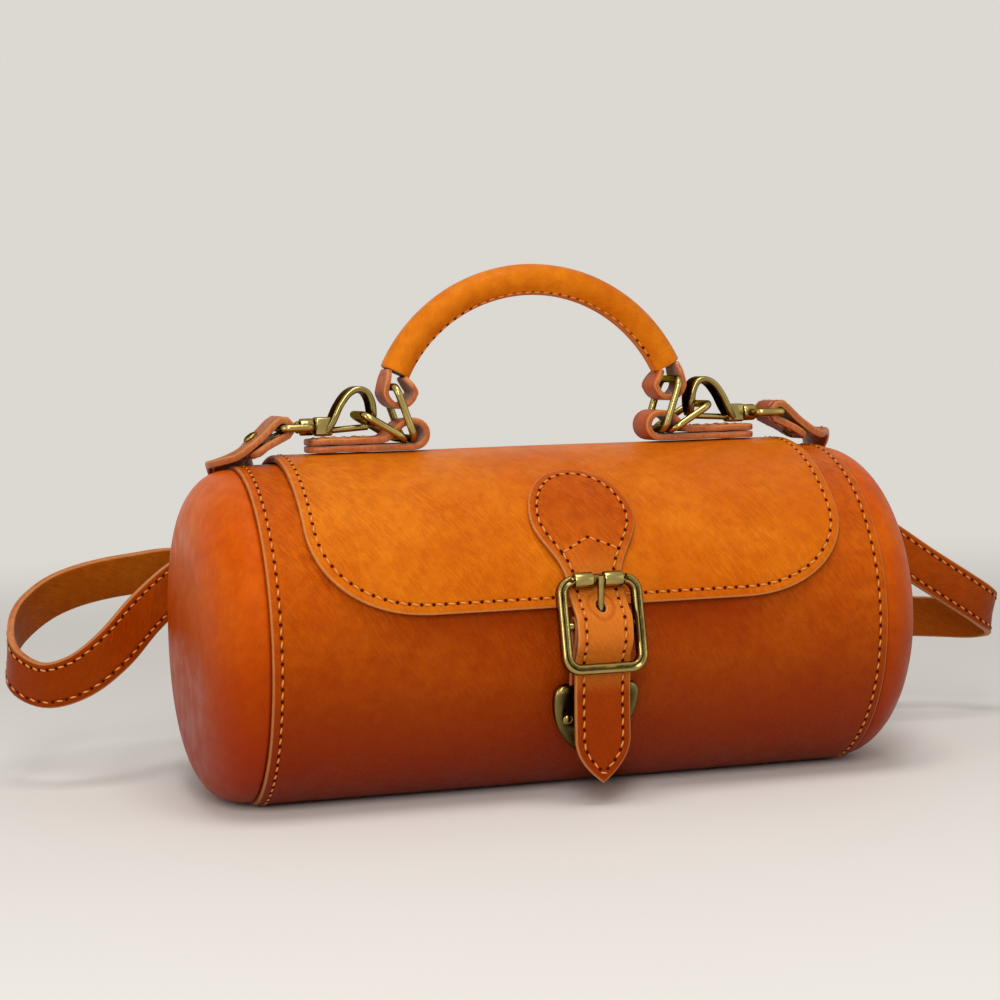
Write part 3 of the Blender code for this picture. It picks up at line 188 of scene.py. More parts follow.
def makeLeather(name):
    tones = leatherTones[name]
    board = NodeBoard("leather_" + name)
    shader = board.shader
    cut = board.attribute("cut", "Vector")
    edge = board.attribute("edge")
    # Colour: cloudy dye, with painted shade deepening it towards the bag's underside
    clouds = board.spread(board.noise(grainFinish["patchScale"], 4.0, 0.6), 0.32, 0.7)
    mottle = board.spread(board.noise(240.0, 5.0, 0.65), 0.3, 0.72)
    colour = board.mix(clouds, hexColour(tones["main"]), hexColour(tones["light"]))
    colour = board.mix(board.math("MULTIPLY", mottle, 0.35), colour, hexColour(tones["deep"]))
    split = board.add("ShaderNodeSeparateXYZ")
    board.feed(split.inputs["Vector"], board.place)
    # Painted shade: the lowest tone towards the bottom, where the barrel turns away from the lamps
    paintedShadeBelow = board.spread(split.outputs["Z"], 0.095, 0.012)
    colour = board.mix(board.math("MULTIPLY", paintedShadeBelow, 0.9), colour, hexColour(tones["lowest"]))
    # Fine slanted wrinkles and pores of the hide
    slanted = board.stretched((grainFinish["streakLength"], 1.0, 1.0), (0.0, 0.0, grainFinish["slant"]), cut)
    wrinkle = board.noise(grainFinish["streakScale"], 4.0, 0.6, slanted, 0.25)
    creases = board.spread(wrinkle, 0.36, 0.62)
    pores = board.spread(board.cells(grainFinish["poreScale"], cut), 0.0, 0.22)
    where = board.spread(board.noise(60.0, 3.0), 0.35, 0.65, 0.35, 1.0)
    dark = board.math("MULTIPLY", board.math("SUBTRACT", 1.0, creases), 0.32 * tones["grain"] + 0.05)
    colour = board.mix(board.math("MULTIPLY", dark, where), colour, hexColour(tones["deep"]))
    # Painted shadow on the panel under the flap's edge, strongest in the middle
    if name == "body":
        flapShadow = board.spread(split.outputs["Z"], 0.04, 0.073)
        inside = board.spread(board.math("ABSOLUTE", split.outputs["X"]), 0.098, 0.04)
        shade = board.math("MULTIPLY", board.math("MULTIPLY", flapShadow, inside), 0.85)
        colour = board.mix(shade, colour, hexColour(tones["lowest"]))
    # Painted light: paler across the strap's neck and where it passes over the buckle's bars
    if name == "patch":
        paintedLight = board.math("MULTIPLY", board.spread(split.outputs["Z"], 0.036, 0.046),
                          board.spread(split.outputs["Z"], 0.088, 0.07))
        colour = board.mix(board.math("MULTIPLY", paintedLight, 0.6), colour, hexColour("e2802a"))
    # Paler along the cut; along the line of stitching, painted shade in its groove
    rim = board.spread(edge, 0.0008, 0.0002)
    colour = board.mix(board.math("MULTIPLY", rim, 0.5), colour, hexColour("cc965c"))
    line = tones["line"] * mm
    nearLine = board.math("ABSOLUTE", board.math("SUBTRACT", edge, line))
    groove = board.spread(nearLine, 0.0011, 0.0)
    # Painted shade: the deep tone in the stitch groove
    colour = board.mix(board.math("MULTIPLY", groove, 0.35), colour, hexColour(tones["deep"]))
    board.feed(shader.inputs["Base Color"], colour)
    low, high = grainFinish["roughness"]
    board.feed(shader.inputs["Roughness"], board.spread(board.noise(130.0, 4.0), 0.3, 0.7, low, high))
    shader.inputs["Specular IOR Level"].default_value = 0.16
    shader.inputs["Specular Tint"].default_value = hexColour("ffbe78")
    relief = board.math("ADD", board.math("MULTIPLY", creases, 0.7), board.math("MULTIPLY", pores, 0.3))
    normal = board.bump(relief, min(0.6 * tones["grain"] + 0.1, 1.0), 0.00026)
    sunk = board.math("SUBTRACT", 1.0, groove)
    board.feed(shader.inputs["Normal"], board.bump(sunk, 0.6, 0.0003, normal))
    return board.material


def makeRawEdge():
    # The cut side of the leather: paler, fibrous, with darker clouds
    board = NodeBoard("leather_raw_edge")
    fibres = board.noise(900.0, 5.0, 0.7, board.stretched((1.0, 1.0, 3.0)))
    clouds = board.noise(160.0, 3.0)
    colour = board.mix(board.spread(fibres, 0.3, 0.7), hexColour("a04c14"), hexColour("c97030"))
    colour = board.mix(board.spread(clouds, 0.35, 0.7, 0.0, 0.6), colour, hexColour("904414"))
    board.feed(board.shader.inputs["Base Color"], colour)
    board.shader.inputs["Roughness"].default_value = 0.42
    board.feed(board.shader.inputs["Normal"], board.bump(fibres, 0.5, 0.0002))
    return board.material


def makeFlesh():
    # The suede side, seen inside the bag and behind the straps
    board = NodeBoard("leather_flesh")
    nap = board.noise(1400.0, 6.0, 0.75)
    clouds = board.noise(70.0, 4.0)
    colour = board.mix(board.spread(clouds, 0.3, 0.7), hexColour("8d4616"), hexColour("ad6630"))
    colour = board.mix(board.spread(nap, 0.35, 0.7, 0.0, 0.5), colour, hexColour("c98a57"))
    board.feed(board.shader.inputs["Base Color"], colour)
    board.shader.inputs["Roughness"].default_value = 0.85
    board.shader.inputs["Sheen Weight"].default_value = 0.25
    board.feed(board.shader.inputs["Normal"], board.bump(nap, 0.6, 0.0003))
    return board.material


brassTones = {"bright": "c0ac68", "main": "5e4c22", "dark": "140e06", "roughness": (0.12, 0.28)}


def makeBrass(name, ageing):
    # Antique brass: dark in the hollows, rubbed bright on what stands out
    board = NodeBoard(name)
    shader = board.shader
    blotches = board.spread(board.noise(120.0, 5.0, 0.65), 0.34, 0.7)
    specks = board.spread(board.noise(900.0, 3.0, 0.6), 0.5, 0.72)
    worn = board.spread(board.add("ShaderNodeNewGeometry").outputs["Pointiness"], 0.495, 0.56)
    colour = board.mix(blotches, hexColour(brassTones["main"]), hexColour(brassTones["bright"]))
    colour = board.mix(board.math("MULTIPLY", specks, 0.35), colour, hexColour(brassTones["dark"]))
    colour = board.mix(ageing, colour, hexColour(brassTones["dark"]))
    colour = board.mix(board.math("MULTIPLY", worn, 0.7), colour, hexColour(brassTones["bright"]))
    board.feed(shader.inputs["Base Color"], colour)
    low, high = brassTones["roughness"]
    board.feed(shader.inputs["Roughness"], board.spread(blotches, 0.0, 1.0, high, low))
    shader.inputs["Metallic"].default_value = 1.0
    shader.inputs["Specular Tint"].default_value = hexColour("8a7a50")
    board.feed(shader.inputs["Normal"], board.bump(board.noise(700.0, 4.0), 0.12, 0.0002))
    return board.material


def makePlain(name, code, second, roughness, scale, shine=0.5):
    # Thread, the needle holes' painted shade and the handle's core: two close tones in a fine noise
    board = NodeBoard(name)
    twist = board.noise(scale, 3.0, 0.6)
    board.feed(board.shader.inputs["Base Color"], board.mix(twist, hexColour(code), hexColour(second)))
    board.shader.inputs["Roughness"].default_value = roughness
    board.shader.inputs["Specular IOR Level"].default_value = shine
    board.feed(board.shader.inputs["Normal"], board.bump(twist, 0.4, 0.0002))
    return board.material


print("materials")
leathers = {name: makeLeather(name) for name in leatherTones}
rawEdge = makeRawEdge()
flesh = makeFlesh()
brass = makeBrass("antique_brass", 0.28)
darkBrass = makeBrass("dark_brass", 0.88)
thread = makePlain("thread", "e4994c", "c87c34", 0.6, 1800.0, 0.2)
# The needle holes are flat discs in near black: painted shade of the holes
needleHoleShade = makePlain("needle_hole_shade", "3a1202", "501a04", 1.0, 600.0, 0.0)
cord = makePlain("handle_core", "8a7350", "6d5838", 0.9, 900.0)


# Leather cut flat, bent into place and given its thickness

def onBarrel(x, angle, radius):
    # A point at an angle in degrees from the top towards the front
    turn = math.radians(angle)
    return Vector((x, -radius * math.sin(turn), barrel["height"] + radius * math.cos(turn)))


def smoothLine(points, perSpan):
    # A curve through every point
    rows = [Vector(p) for p in points]
    ends = [rows[0] * 2 - rows[1]] + rows + [rows[-1] * 2 - rows[-2]]
    out = []
    for i in range(1, len(ends) - 2):
        a, b, c, d = ends[i - 1:i + 3]
        for k in range(perSpan):
            t = k / perSpan
            bend = (2 * a - 5 * b + 4 * c - d) * t ** 2
            twist = (3 * b - a - 3 * c + d) * t ** 3
            out.append(b + ((c - a) * t + bend + twist) / 2)
    out.append(rows[-1])
    return out


def arcLine(centre, radius, start, end, count):
    turns = [math.radians(start + (end - start) * i / count) for i in range(count + 1)]
    return [Vector((centre[0] + radius * math.cos(t), centre[1] + radius * math.sin(t))) for t in turns]


class Route:
    # A line of points that can be read at any distance along it
    def __init__(self, points):
        self.points = [Vector(p) for p in points]
        steps = [(b - a).length for a, b in zip(self.points, self.points[1:])]
        self.stations = [0.0]
        for step in steps:
            self.stations.append(self.stations[-1] + step)
        self.length = self.stations[-1]

    def at(self, distance):
        i = int(np.searchsorted(self.stations, distance, side="right")) - 1
        i = min(max(i, 0), len(self.points) - 2)
        share = (distance - self.stations[i]) / (self.stations[i + 1] - self.stations[i])
        return self.points[i].lerp(self.points[i + 1], share)


def evenly(low, high, step):
    count = max(1, round((high - low) / step))
    return [low + (high - low) * i / count for i in range(count + 1)]


# Distances inside a cut edge, where its rounding is drawn
edgeSteps = [0.22 * mm, 0.5 * mm, 1.0 * mm]


def columnsFor(halfWidth, step):
    # Shares of the half width, with extra columns just inside each border
    inner = 1.0 - edgeSteps[-1] / halfWidth
    middle = evenly(-inner, inner, step / halfWidth)
    outer = [1.0 - inset / halfWidth for inset in edgeSteps[:-1]]
    return [-1.0] + [-share for share in outer] + middle + outer[::-1] + [1.0]


def rowsFor(length, step):
    near = edgeSteps[:-1]
    far = [length - inset for inset in reversed(near)]
    return [0.0] + near + evenly(edgeSteps[-1], length - edgeSteps[-1], step) + far + [length]


def roundedEnds(halfWidth, corner, length, step):
    # Rows and half widths of a strap whose four corners are rounded
    ends = [corner * (1 - math.cos(math.radians(a))) for a in evenly(0, 90, 10)]
    rows = ends + evenly(corner, length - corner, step)[1:-1] + [length - end for end in reversed(ends)]

    def half(v):
        short = max(corner - min(v, length - v), 0.0)
        return halfWidth - corner + math.sqrt(max(corner ** 2 - short ** 2, 0.0))

    return rows, half


def acrossRoute(route, axis):
    # Lays a flat cut along a route, with its width along world X (0) or Y (1)
    def place(u, v):
        point = route.at(v)
        point[axis] = u
        return point

    return place


class BentSheet:
    # One cut of leather: its flat pattern, its place in space and the side that its grain is on
    def __init__(self, name, columns, rows, halfWidth, place, thickness, grain=1):
        self.place = place
        self.thickness = thickness
        self.grain = grain
        deselectAll()
        bpy.ops.mesh.primitive_grid_add(x_subdivisions=len(columns) - 1, y_subdivisions=len(rows) - 1, size=2.0)
        self.piece = bpy.context.object
        self.piece.name = self.piece.data.name = name
        for vert in self.piece.data.vertices:
            column = round((vert.co.x + 1) / 2 * (len(columns) - 1))
            row = round((vert.co.y + 1) / 2 * (len(rows) - 1))
            v = rows[row]
            vert.co = (columns[column] * halfWidth(v), v, 0.0)

    def cutHole(self, outline):
        # Takes out the faces inside a closed line and brings the border's points onto it
        line = [Vector(p) for p in outline]
        work = bmesh.new()
        work.from_mesh(self.piece.data)
        inside = [face for face in work.faces if insideLine(face.calc_center_median(), line)]
        border = {vert for face in inside for vert in face.verts}
        bmesh.ops.delete(work, geom=inside, context="FACES")
        for vert in border:
            if vert.is_valid:
                vert.co.xy = nearestOnLine(vert.co.xy, line)
        work.to_mesh(self.piece.data)
        work.free()

    def finish(self, materials, edgeRound=0.9, edgeShare=0.5, shadeAngle=50.0, even=True):
        data = self.piece.data
        flat = np.array([vert.co for vert in data.vertices])
        cutPlace = data.attributes.new("cut", "FLOAT_VECTOR", "POINT")
        cutPlace.data.foreach_set("vector", flat.astype(np.float32).ravel())
        distances = data.attributes.new("edge", "FLOAT", "POINT")
        gaps = borderDistance(data, flat)
        distances.data.foreach_set("value", gaps.astype(np.float32))
        # The edge is rounded: full thickness is reached a little way inside it
        fullness = self.piece.vertex_groups.new(name="Fullness")
        for i, gap in enumerate(gaps):
            near = max(1.0 - gap / (edgeRound * mm), 0.0)
            fullness.add([i], edgeShare + (1.0 - edgeShare) * math.sqrt(1.0 - near * near), "REPLACE")
        for vert in data.vertices:
            vert.co = self.place(vert.co.x, vert.co.y)
        if self.grain < 0:
            editAll(self.piece, bpy.ops.mesh.flip_normals)
        for material in materials:
            data.materials.append(material)
        thick = self.piece.modifiers.new("Thickness", "SOLIDIFY")
        thick.thickness = self.thickness
        thick.offset = 0.0
        thick.use_even_offset = even
        thick.vertex_group = "Fullness"
        thick.material_offset_rim = 1
        thick.material_offset = len(materials) - 1
        applyModifiers(self.piece)
        self.piece.vertex_groups.clear()
        smoothShade(self.piece, shadeAngle)
        return self.piece

    def frameAt(self, u, v):
        # Point on the grain side, and the directions across, along and out of it
        small = 0.2 * mm
        across = (self.place(u + small, v) - self.place(u - small, v)).normalized()
        along = (self.place(u, v + small) - self.place(u, v - small)).normalized()
        out = across.cross(along).normalized() * self.grain
        return self.place(u, v) + out * self.thickness / 2, across, along, out


def insideLine(point, line):
    found = False
    for a, b in zip(line, line[1:] + line[:1]):
        if (a.y > point.y) != (b.y > point.y):
            if point.x < a.x + (point.y - a.y) / (b.y - a.y) * (b.x - a.x):
                found = not found
    return found


def nearestOnLine(point, line):
    best = None
    for a, b in zip(line, line[1:] + line[:1]):
        step = (b - a).xy
        share = min(max((point - a.xy).dot(step) / max(step.length_squared, 1e-18), 0.0), 1.0)
        spot = a.xy + step * share
        gap = (point - spot).length
        if best is None or gap < best[0]:
            best = (gap, spot)
    return best[1]


def borderDistance(data, flat):
    # Distance in the flat pattern from each point to the nearest cut edge
    counts = {}
    for face in data.polygons:
        for key in face.edge_keys:
            counts[key] = counts.get(key, 0) + 1
    border = np.array([key for key, count in counts.items() if count == 1])
    starts = flat[border[:, 0], :2]
    steps = flat[border[:, 1], :2] - starts
    lengths = np.maximum((steps ** 2).sum(1), 1e-18)
    out = np.empty(len(flat))
    for i in range(0, len(flat), 2000):
        points = flat[i:i + 2000, None, :2] - starts[None]
        share = np.clip((points * steps[None]).sum(2) / lengths, 0.0, 1.0)
        out[i:i + 2000] = np.sqrt(((points - share[..., None] * steps) ** 2).sum(2)).min(1)
    return out


# Stitching: one stitch and one needle hole, repeated along a line

stitchShape = {"pitch": 4.0 * mm, "length": 2.35 * mm, "width": 0.68 * mm, "height": 0.46 * mm, "slant": 10.0,
               "hole": 0.62 * mm, "droop": 0.6, "proud": 0.35, "lift": 0.03 * mm}


def makeStitchModel():
    deselectAll()
    bpy.ops.mesh.primitive_uv_sphere_add(segments=6, ring_count=5, radius=1.0)
    stitch = bpy.context.object
    size = (stitchShape["width"] / 2, stitchShape["length"] / 2, stitchShape["height"] / 2)
    for vert in stitch.data.vertices:
        turned = Vector((vert.co.x, vert.co.z, vert.co.y))
        dip = -stitchShape["droop"] * turned.y ** 4
        vert.co = (turned.x * size[0], turned.y * size[1], (turned.z + dip + stitchShape["proud"]) * size[2])
    deselectAll()
    # The needle hole: a flat disc, which carries the painted shade of the hole
    bpy.ops.mesh.primitive_circle_add(vertices=8, radius=stitchShape["hole"], fill_type="TRIFAN")
    hole = bpy.context.object
    return stitch, hole


def repeatAlong(name, places, materials):
    # Copies both models to every place, in one mesh: stitches first, then holes
    made = bpy.data.meshes.new(name)
    points, faces, slots = [], [], []
    for index, model in enumerate((stitchModel, holeModel)):
        corners = [vert.co.copy() for vert in model.data.vertices]
        loops = [tuple(face.vertices) for face in model.data.polygons]
        for place in places[index]:
            start = len(points)
            points += [place @ corner for corner in corners]
            faces += [tuple(start + i for i in loop) for loop in loops]
            slots += [index] * len(loops)
    made.from_pydata(points, [], faces)
    for material in materials:
        made.materials.append(material)
    made.polygons.foreach_set("material_index", slots)
    piece = bpy.data.objects.new(name, made)
    bpy.context.scene.collection.objects.link(piece)
    editAll(piece, lambda: bpy.ops.mesh.normals_make_consistent(inside=False))
    for face in made.polygons:
        face.use_smooth = True
    return piece


def stitchPlaces(sheet, line, pitch):
    # Even stitches along a line of the flat pattern, and a hole between each two
    route = Route([(u, v, 0.0) for u, v in line])
    count = max(2, round(route.length / pitch))
    step = route.length / count
    slant = math.radians(stitchShape["slant"])
    stitches, holes = [], []
    for i in range(count * 2 + 1):
        distance = i * step / 2
        spot = route.at(distance)
        ahead = (route.at(distance + 0.2 * mm) - route.at(distance - 0.2 * mm)).normalized()
        point, across, along, out = sheet.frameAt(spot.x, spot.y)
        heading = (across * ahead.x + along * ahead.y).normalized()
        side = heading.cross(out).normalized()
        isHole = i % 2 == 0
        if not isHole:
            turned = (heading * math.cos(slant) + side * math.sin(slant)).normalized()
            heading, side = turned, turned.cross(out).normalized()
        rise = point + out * stitchShape["lift"]
        place = Matrix.Translation(rise) @ Matrix((side, heading, out)).transposed().to_4x4()
        (holes if isHole else stitches).append(place)
    return stitches, holes


def sewn(name, body, sheet, lines, pitch=stitchShape["pitch"]):
    stitches, holes = [], []
    for line in lines:
        found = stitchPlaces(sheet, line, pitch)
        stitches += found[0]
        holes += found[1]
    piece = repeatAlong(name, (stitches, holes), (thread, needleHoleShade))
    if body:
        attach(piece, body)
    return piece


def insetLine(line, distance):
    # The same line moved to its left by a distance, in the flat pattern
    out = []
    for i, (u, v) in enumerate(line):
        before = line[max(i - 1, 0)]
        after = line[min(i + 1, len(line) - 1)]
        along = Vector((after[0] - before[0], after[1] - before[1])).normalized()
        out.append((u - along.y * distance, v + along.x * distance))
    return out


stitchModel, holeModel = makeStitchModel()


def dress(piece, body, slot, *nodes):
    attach(piece, body)
    if nodes:
        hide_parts(*nodes)
    return piece


# Body panel: one piece of leather wrapped round the barrel, with the mouth cut in it

panel = {"radius": 56.25 * mm, "thickness": 2.5 * mm, "seam": -32.0, "halfLength": 106.0 * mm,
         "mouthHalf": 82.0 * mm, "mouthBack": 7.0, "mouthFront": 50.0, "mouthCorner": 9.0 * mm,
         "step": 2.6 * mm, "stitchInset": 3.0 * mm}


def restOnFloor(point, lowest, softness=1.2 * mm):
    # The underside flattens where the bag stands, with a soft change of curve
    above = (point.z - lowest) / softness
    point.z = lowest + softness * (math.log1p(math.exp(-abs(above))) + max(above, 0.0)) - softness * 0.25
    point.z = max(point.z, lowest)
    return point


unevenness = {"height": 0.16 * mm, "along": 22.0, "around": 1.6}


def wobble(x, angle):
    # Slow unevenness of the hide, shared by every layer on the barrel
    turn, around = math.radians(angle), unevenness["around"]
    spot = Vector((x * unevenness["along"], math.cos(turn) * around, math.sin(turn) * around))
    return unevenness["height"] * noise.noise(spot)


def panelPlace(u, v):
    angle = panel["seam"] + math.degrees(v / panel["radius"])
    point = onBarrel(u, angle, panel["radius"] + wobble(u, angle) * 0.6)
    return restOnFloor(point, panel["thickness"] / 2)


def roundedBox(halfU, low, high, corner, count=6):
    centres = [(halfU - corner, high - corner, 0), (corner - halfU, high - corner, 90),
               (corner - halfU, low + corner, 180), (halfU - corner, low + corner, 270)]
    arcs = [arcLine((u, v), corner, start, start + 90, count) for u, v, start in centres]
    return [Vector((p.x, p.y, 0.0)) for arc in arcs for p in arc]


def makePanel():
    print("body panel")
    length = math.radians(359.6) * panel["radius"]
    rows = rowsFor(length, panel["step"])
    columns = columnsFor(panel["halfLength"], panel["step"])
    half = panel["halfLength"]
    sheet = BentSheet("panel", columns, rows, lambda v: half, panelPlace, panel["thickness"], grain=-1)
    mouthLow = math.radians(panel["mouthBack"] - panel["seam"]) * panel["radius"]
    mouthHigh = math.radians(panel["mouthFront"] - panel["seam"]) * panel["radius"]
    sheet.cutHole(roundedBox(panel["mouthHalf"], mouthLow, mouthHigh, panel["mouthCorner"]))
    made = sheet.finish((leathers["body"], rawEdge, flesh))
    dress(made, "bag", "leather", "body_panel")
    inset = half - panel["stitchInset"]
    lines = [[(side * inset, v) for v in evenly(2 * mm, length - 2 * mm, 3 * mm)] for side in (-1, 1)]
    sewn("panel_stitches", "bag", sheet, lines)


makePanel()


# End caps: moulded leather, a skirt inside the panel and a full rim

cap = {"thickness": 2.2 * mm, "skirt": 12.0 * mm, "skirtRadius": 54.7 * mm, "rim": 56.3 * mm, "reach": 17.2 * mm,
       "drop": 25.0 * mm, "start": 1.3 * mm, "dome": 0.8 * mm, "sides": 144}


def capProfile():
    edge = panel["halfLength"]
    rimStart = edge + cap["start"]
    points = []
    for share in evenly(0.0, 1.0, 0.1)[:-1]:
        inner = cap["rim"] - cap["drop"]
        points.append((rimStart + cap["reach"] + cap["dome"] * (1 - share * share), inner * share))
    for angle in evenly(90.0, 0.0, -5.0):
        turn = math.radians(angle)
        radius = cap["rim"] - cap["drop"] * (1 - math.cos(turn))
        points.append((rimStart + cap["reach"] * math.sin(turn), radius))
    points.append((rimStart - 0.5 * mm, cap["rim"] - 0.12 * mm))
    points.append((rimStart - 1.0 * mm, cap["rim"] - 0.7 * mm))
    points.append((edge - 0.5 * mm, cap["skirtRadius"]))
    points.append((edge - cap["skirt"], cap["skirtRadius"]))
    return points


def makeCap(name, side):
    print("end cap", name)
    data = bpy.data.meshes.new("cap_" + name)
    points = [(x, 0.0, radius + barrel["height"]) for x, radius in capProfile()]
    data.from_pydata(points, [(i, i + 1) for i in range(len(points) - 1)], [])
    made = bpy.data.objects.new("cap_" + name, data)
    bpy.context.scene.collection.objects.link(made)
    centre = (0.0, 0.0, barrel["height"])
    editAll(made,
            lambda: bpy.ops.mesh.spin(steps=cap["sides"], angle=2 * math.pi, center=centre, axis=(1, 0, 0)),
            lambda: bpy.ops.mesh.select_all(action="SELECT"),
            lambda: bpy.ops.mesh.remove_doubles(threshold=1e-5))
    for vert in data.vertices:
        floor = 2.8 * mm if vert.co.x < panel["halfLength"] else 1.2 * mm
        vert.co = restOnFloor(vert.co.copy(), floor, 1.0 * mm)
        out = (vert.co - Vector((0.09, 0.0, barrel["height"]))).normalized()
        if vert.co.x > panel["halfLength"] + 3 * mm:
            vert.co += out * 0.3 * mm * noise.noise(vert.co * 26.0 + Vector((side * 3.0, 0.0, 0.0)))
        vert.co.x *= side
    editAll(made, lambda: bpy.ops.mesh.normals_make_consistent(inside=False))
    top = max(data.polygons, key=lambda face: face.center.z)
    if top.normal.z < 0:
        editAll(made, bpy.ops.mesh.flip_normals)
    cutPlace = data.attributes.new("cut", "FLOAT_VECTOR", "POINT")
    spots = []
    for vert in data.vertices:
        turn = math.atan2(-vert.co.y, vert.co.z - barrel["height"])
        radius = math.hypot(vert.co.y, vert.co.z - barrel["height"])
        spots += [vert.co.x * side * 1.2 - radius * 0.7, turn * 0.05, 0.0]
    cutPlace.data.foreach_set("vector", spots)
    distances = data.attributes.new("edge", "FLOAT", "POINT")
    distances.data.foreach_set("value", [0.02] * len(data.vertices))
    for material in (leathers["cap"], rawEdge, flesh):
        data.materials.append(material)
    thick = made.modifiers.new("Thickness", "SOLIDIFY")
    thick.thickness = cap["thickness"]
    thick.offset = -1.0
    thick.use_even_offset = True
    thick.material_offset_rim = 1
    thick.material_offset = 2
    applyModifiers(made)
    smoothShade(made, 60.0)
    dress(made, "bag", "leather", "end_cap_" + name)


makeCap("left", -1)
makeCap("right", 1)


# Flap: one sheet from the back over the top and down over the mouth

flap = {"inner": 57.8 * mm, "thickness": 2.4 * mm, "half": 92.5 * mm, "back": -58.0, "edge": 80.5,
        "cornerAcross": 40.0 * mm, "cornerDown": 31.0 * mm, "power": 2.2, "step": 2.4 * mm, "stitchInset": 3.1 * mm}
flapLength = math.radians(flap["edge"] - flap["back"]) * flap["inner"]


def flapHalf(v):
    below = (v - (flapLength - flap["cornerDown"])) / flap["cornerDown"]
    below = min(max(below, 0.0), 1.0)
    curve = (1.0 - below ** flap["power"]) ** (1 / flap["power"])
    return flap["half"] - flap["cornerAcross"] * (1.0 - curve)


def flapPlace(u, v):
    angle = flap["back"] + math.degrees(v / flap["inner"])
    return onBarrel(u, angle, flap["inner"] + flap["thickness"] / 2 + wobble(u, angle))


def makeFlap():
    print("flap")
    straight = flapLength - flap["cornerDown"]
    corner = []
    for angle in evenly(0.0, 90.0, 3.0)[1:]:
        corner.append(straight + flap["cornerDown"] * math.sin(math.radians(angle)) ** (2 / flap["power"]))
    rows = [0.0, 0.6 * mm] + evenly(1.4 * mm, straight, flap["step"]) + corner
    columns = columnsFor(flap["half"], flap["step"])
    sheet = BentSheet("flap", columns, rows, flapHalf, flapPlace, flap["thickness"], grain=-1)
    made = sheet.finish((leathers["flap"], rawEdge, flesh))
    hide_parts("flap_front", "flap_back")
    outline = [(flapHalf(v), v) for v in evenly(4 * mm, straight, 4 * mm) + corner]
    bottom = [(u, flapLength) for u in evenly(outline[-1][0], -outline[-1][0], -3 * mm)[1:-1]]
    left = [(-u, v) for u, v in reversed(outline)]
    line = insetLine(outline + bottom + left, flap["stitchInset"])
    stitches = sewn("flap_stitches", None, sheet, [line])
    back = [(u, 3.1 * mm) for u in evenly(-flap["half"] + 4 * mm, flap["half"] - 4 * mm, 3 * mm)]
    sewn("flap_back_stitches", "bag", sheet, [back])
    for piece in (made, stitches):
        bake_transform(piece)


makeFlap()


# Metal pieces: turned, bent from wire, or bent from band

metal = {"shadeAngle": 40.0, "wireSides": 5}


def placed(piece, matrix):
    piece.data.transform(matrix)
    return piece


def aimed(point, axis):
    # A place at a point, with local Z along an axis
    along = Vector(axis).normalized()
    return Matrix.Translation(Vector(point)) @ along.to_track_quat("Z", "Y").to_matrix().to_4x4()


def closeUp(piece, material):
    # Merges, turns the normals outwards, shades and gives the finish
    editAll(piece,
            lambda: bpy.ops.mesh.remove_doubles(threshold=2e-6),
            lambda: bpy.ops.mesh.normals_make_consistent(inside=False))
    piece.data.materials.clear()
    piece.data.materials.append(material)
    smoothShade(piece, metal["shadeAngle"])
    return piece


def turnedPiece(name, profile, matrix, material, steps=40):
    # Spins a profile of (radius, height) round local Z
    data = bpy.data.meshes.new(name)
    data.from_pydata([(r, 0.0, z) for r, z in profile], [(i, i + 1) for i in range(len(profile) - 1)], [])
    piece = bpy.data.objects.new(name, data)
    bpy.context.scene.collection.objects.link(piece)
    editAll(piece, lambda: bpy.ops.mesh.spin(steps=steps, angle=2 * math.pi, center=(0, 0, 0), axis=(0, 0, 1)))
    placed(piece, matrix)
    return closeUp(piece, material)


def rodProfile(radius, length, edge, bore=0.0):
    half = length / 2
    out = [(radius - edge, -half), (radius - edge * 0.3, -half + edge * 0.3), (radius, -half + edge)]
    out += [(r, -z) for r, z in reversed(out)]
    return [(bore, -half)] + out + [(bore, half)] + ([(bore, -half)] if bore else [])


def wirePiece(name, points, radius, material, closed=False, matrix=None, section=None):
    # Wire bent along points, made a mesh. A section is an outline in place of the round one
    curve = bpy.data.curves.new(name, "CURVE")
    curve.dimensions = "3D"
    curve.use_fill_caps = not closed
    if section:
        outline = bpy.data.curves.new(name + "_section", "CURVE")
        outline.dimensions = "2D"
        line = outline.splines.new("POLY")
        line.points.add(len(section) - 1)
        for spot, where in zip(line.points, section):
            spot.co = (where[0], where[1], 0.0, 1.0)
        line.use_cyclic_u = True
        shape = bpy.data.objects.new(name + "_section", outline)
        bpy.context.scene.collection.objects.link(shape)
        curve.bevel_mode = "OBJECT"
        curve.bevel_object = shape
    else:
        curve.bevel_depth = radius
        curve.bevel_resolution = metal["wireSides"]
    spline = curve.splines.new("POLY")
    spline.points.add(len(points) - 1)
    for spot, where in zip(spline.points, points):
        spot.co = (*where, 1.0)
    spline.use_cyclic_u = closed
    piece = bpy.data.objects.new(name, curve)
    bpy.context.scene.collection.objects.link(piece)
    makeActive(piece)
    bpy.ops.object.convert(target="MESH")
    piece = bpy.context.object
    if section:
        bpy.data.objects.remove(shape, do_unlink=True)
    if matrix:
        placed(piece, matrix)
    return closeUp(piece, material)


def roundedLoop(halfU, low, high, corner, count=8):
    # A closed rounded rectangle, starting in the middle of its low side
    box = roundedBox(halfU, low, high, corner, count)
    start = 3 * (count + 1)
    return [Vector((0.0, low, 0.0))] + box[start:] + box[:start]


def bevelledBox(name, size, matrix, material, edge):
    deselectAll()
    bpy.ops.mesh.primitive_cube_add(size=1.0)
    piece = bpy.context.object
    piece.name = piece.data.name = name
    placed(piece, Matrix.Diagonal((*size, 1.0)))
    editAll(piece, lambda: bpy.ops.mesh.bevel(offset=edge, segments=3, affect="EDGES"))
    placed(piece, matrix)
    return closeUp(piece, material)


# Buckle: a frame of grooved bar, its roller and its prong

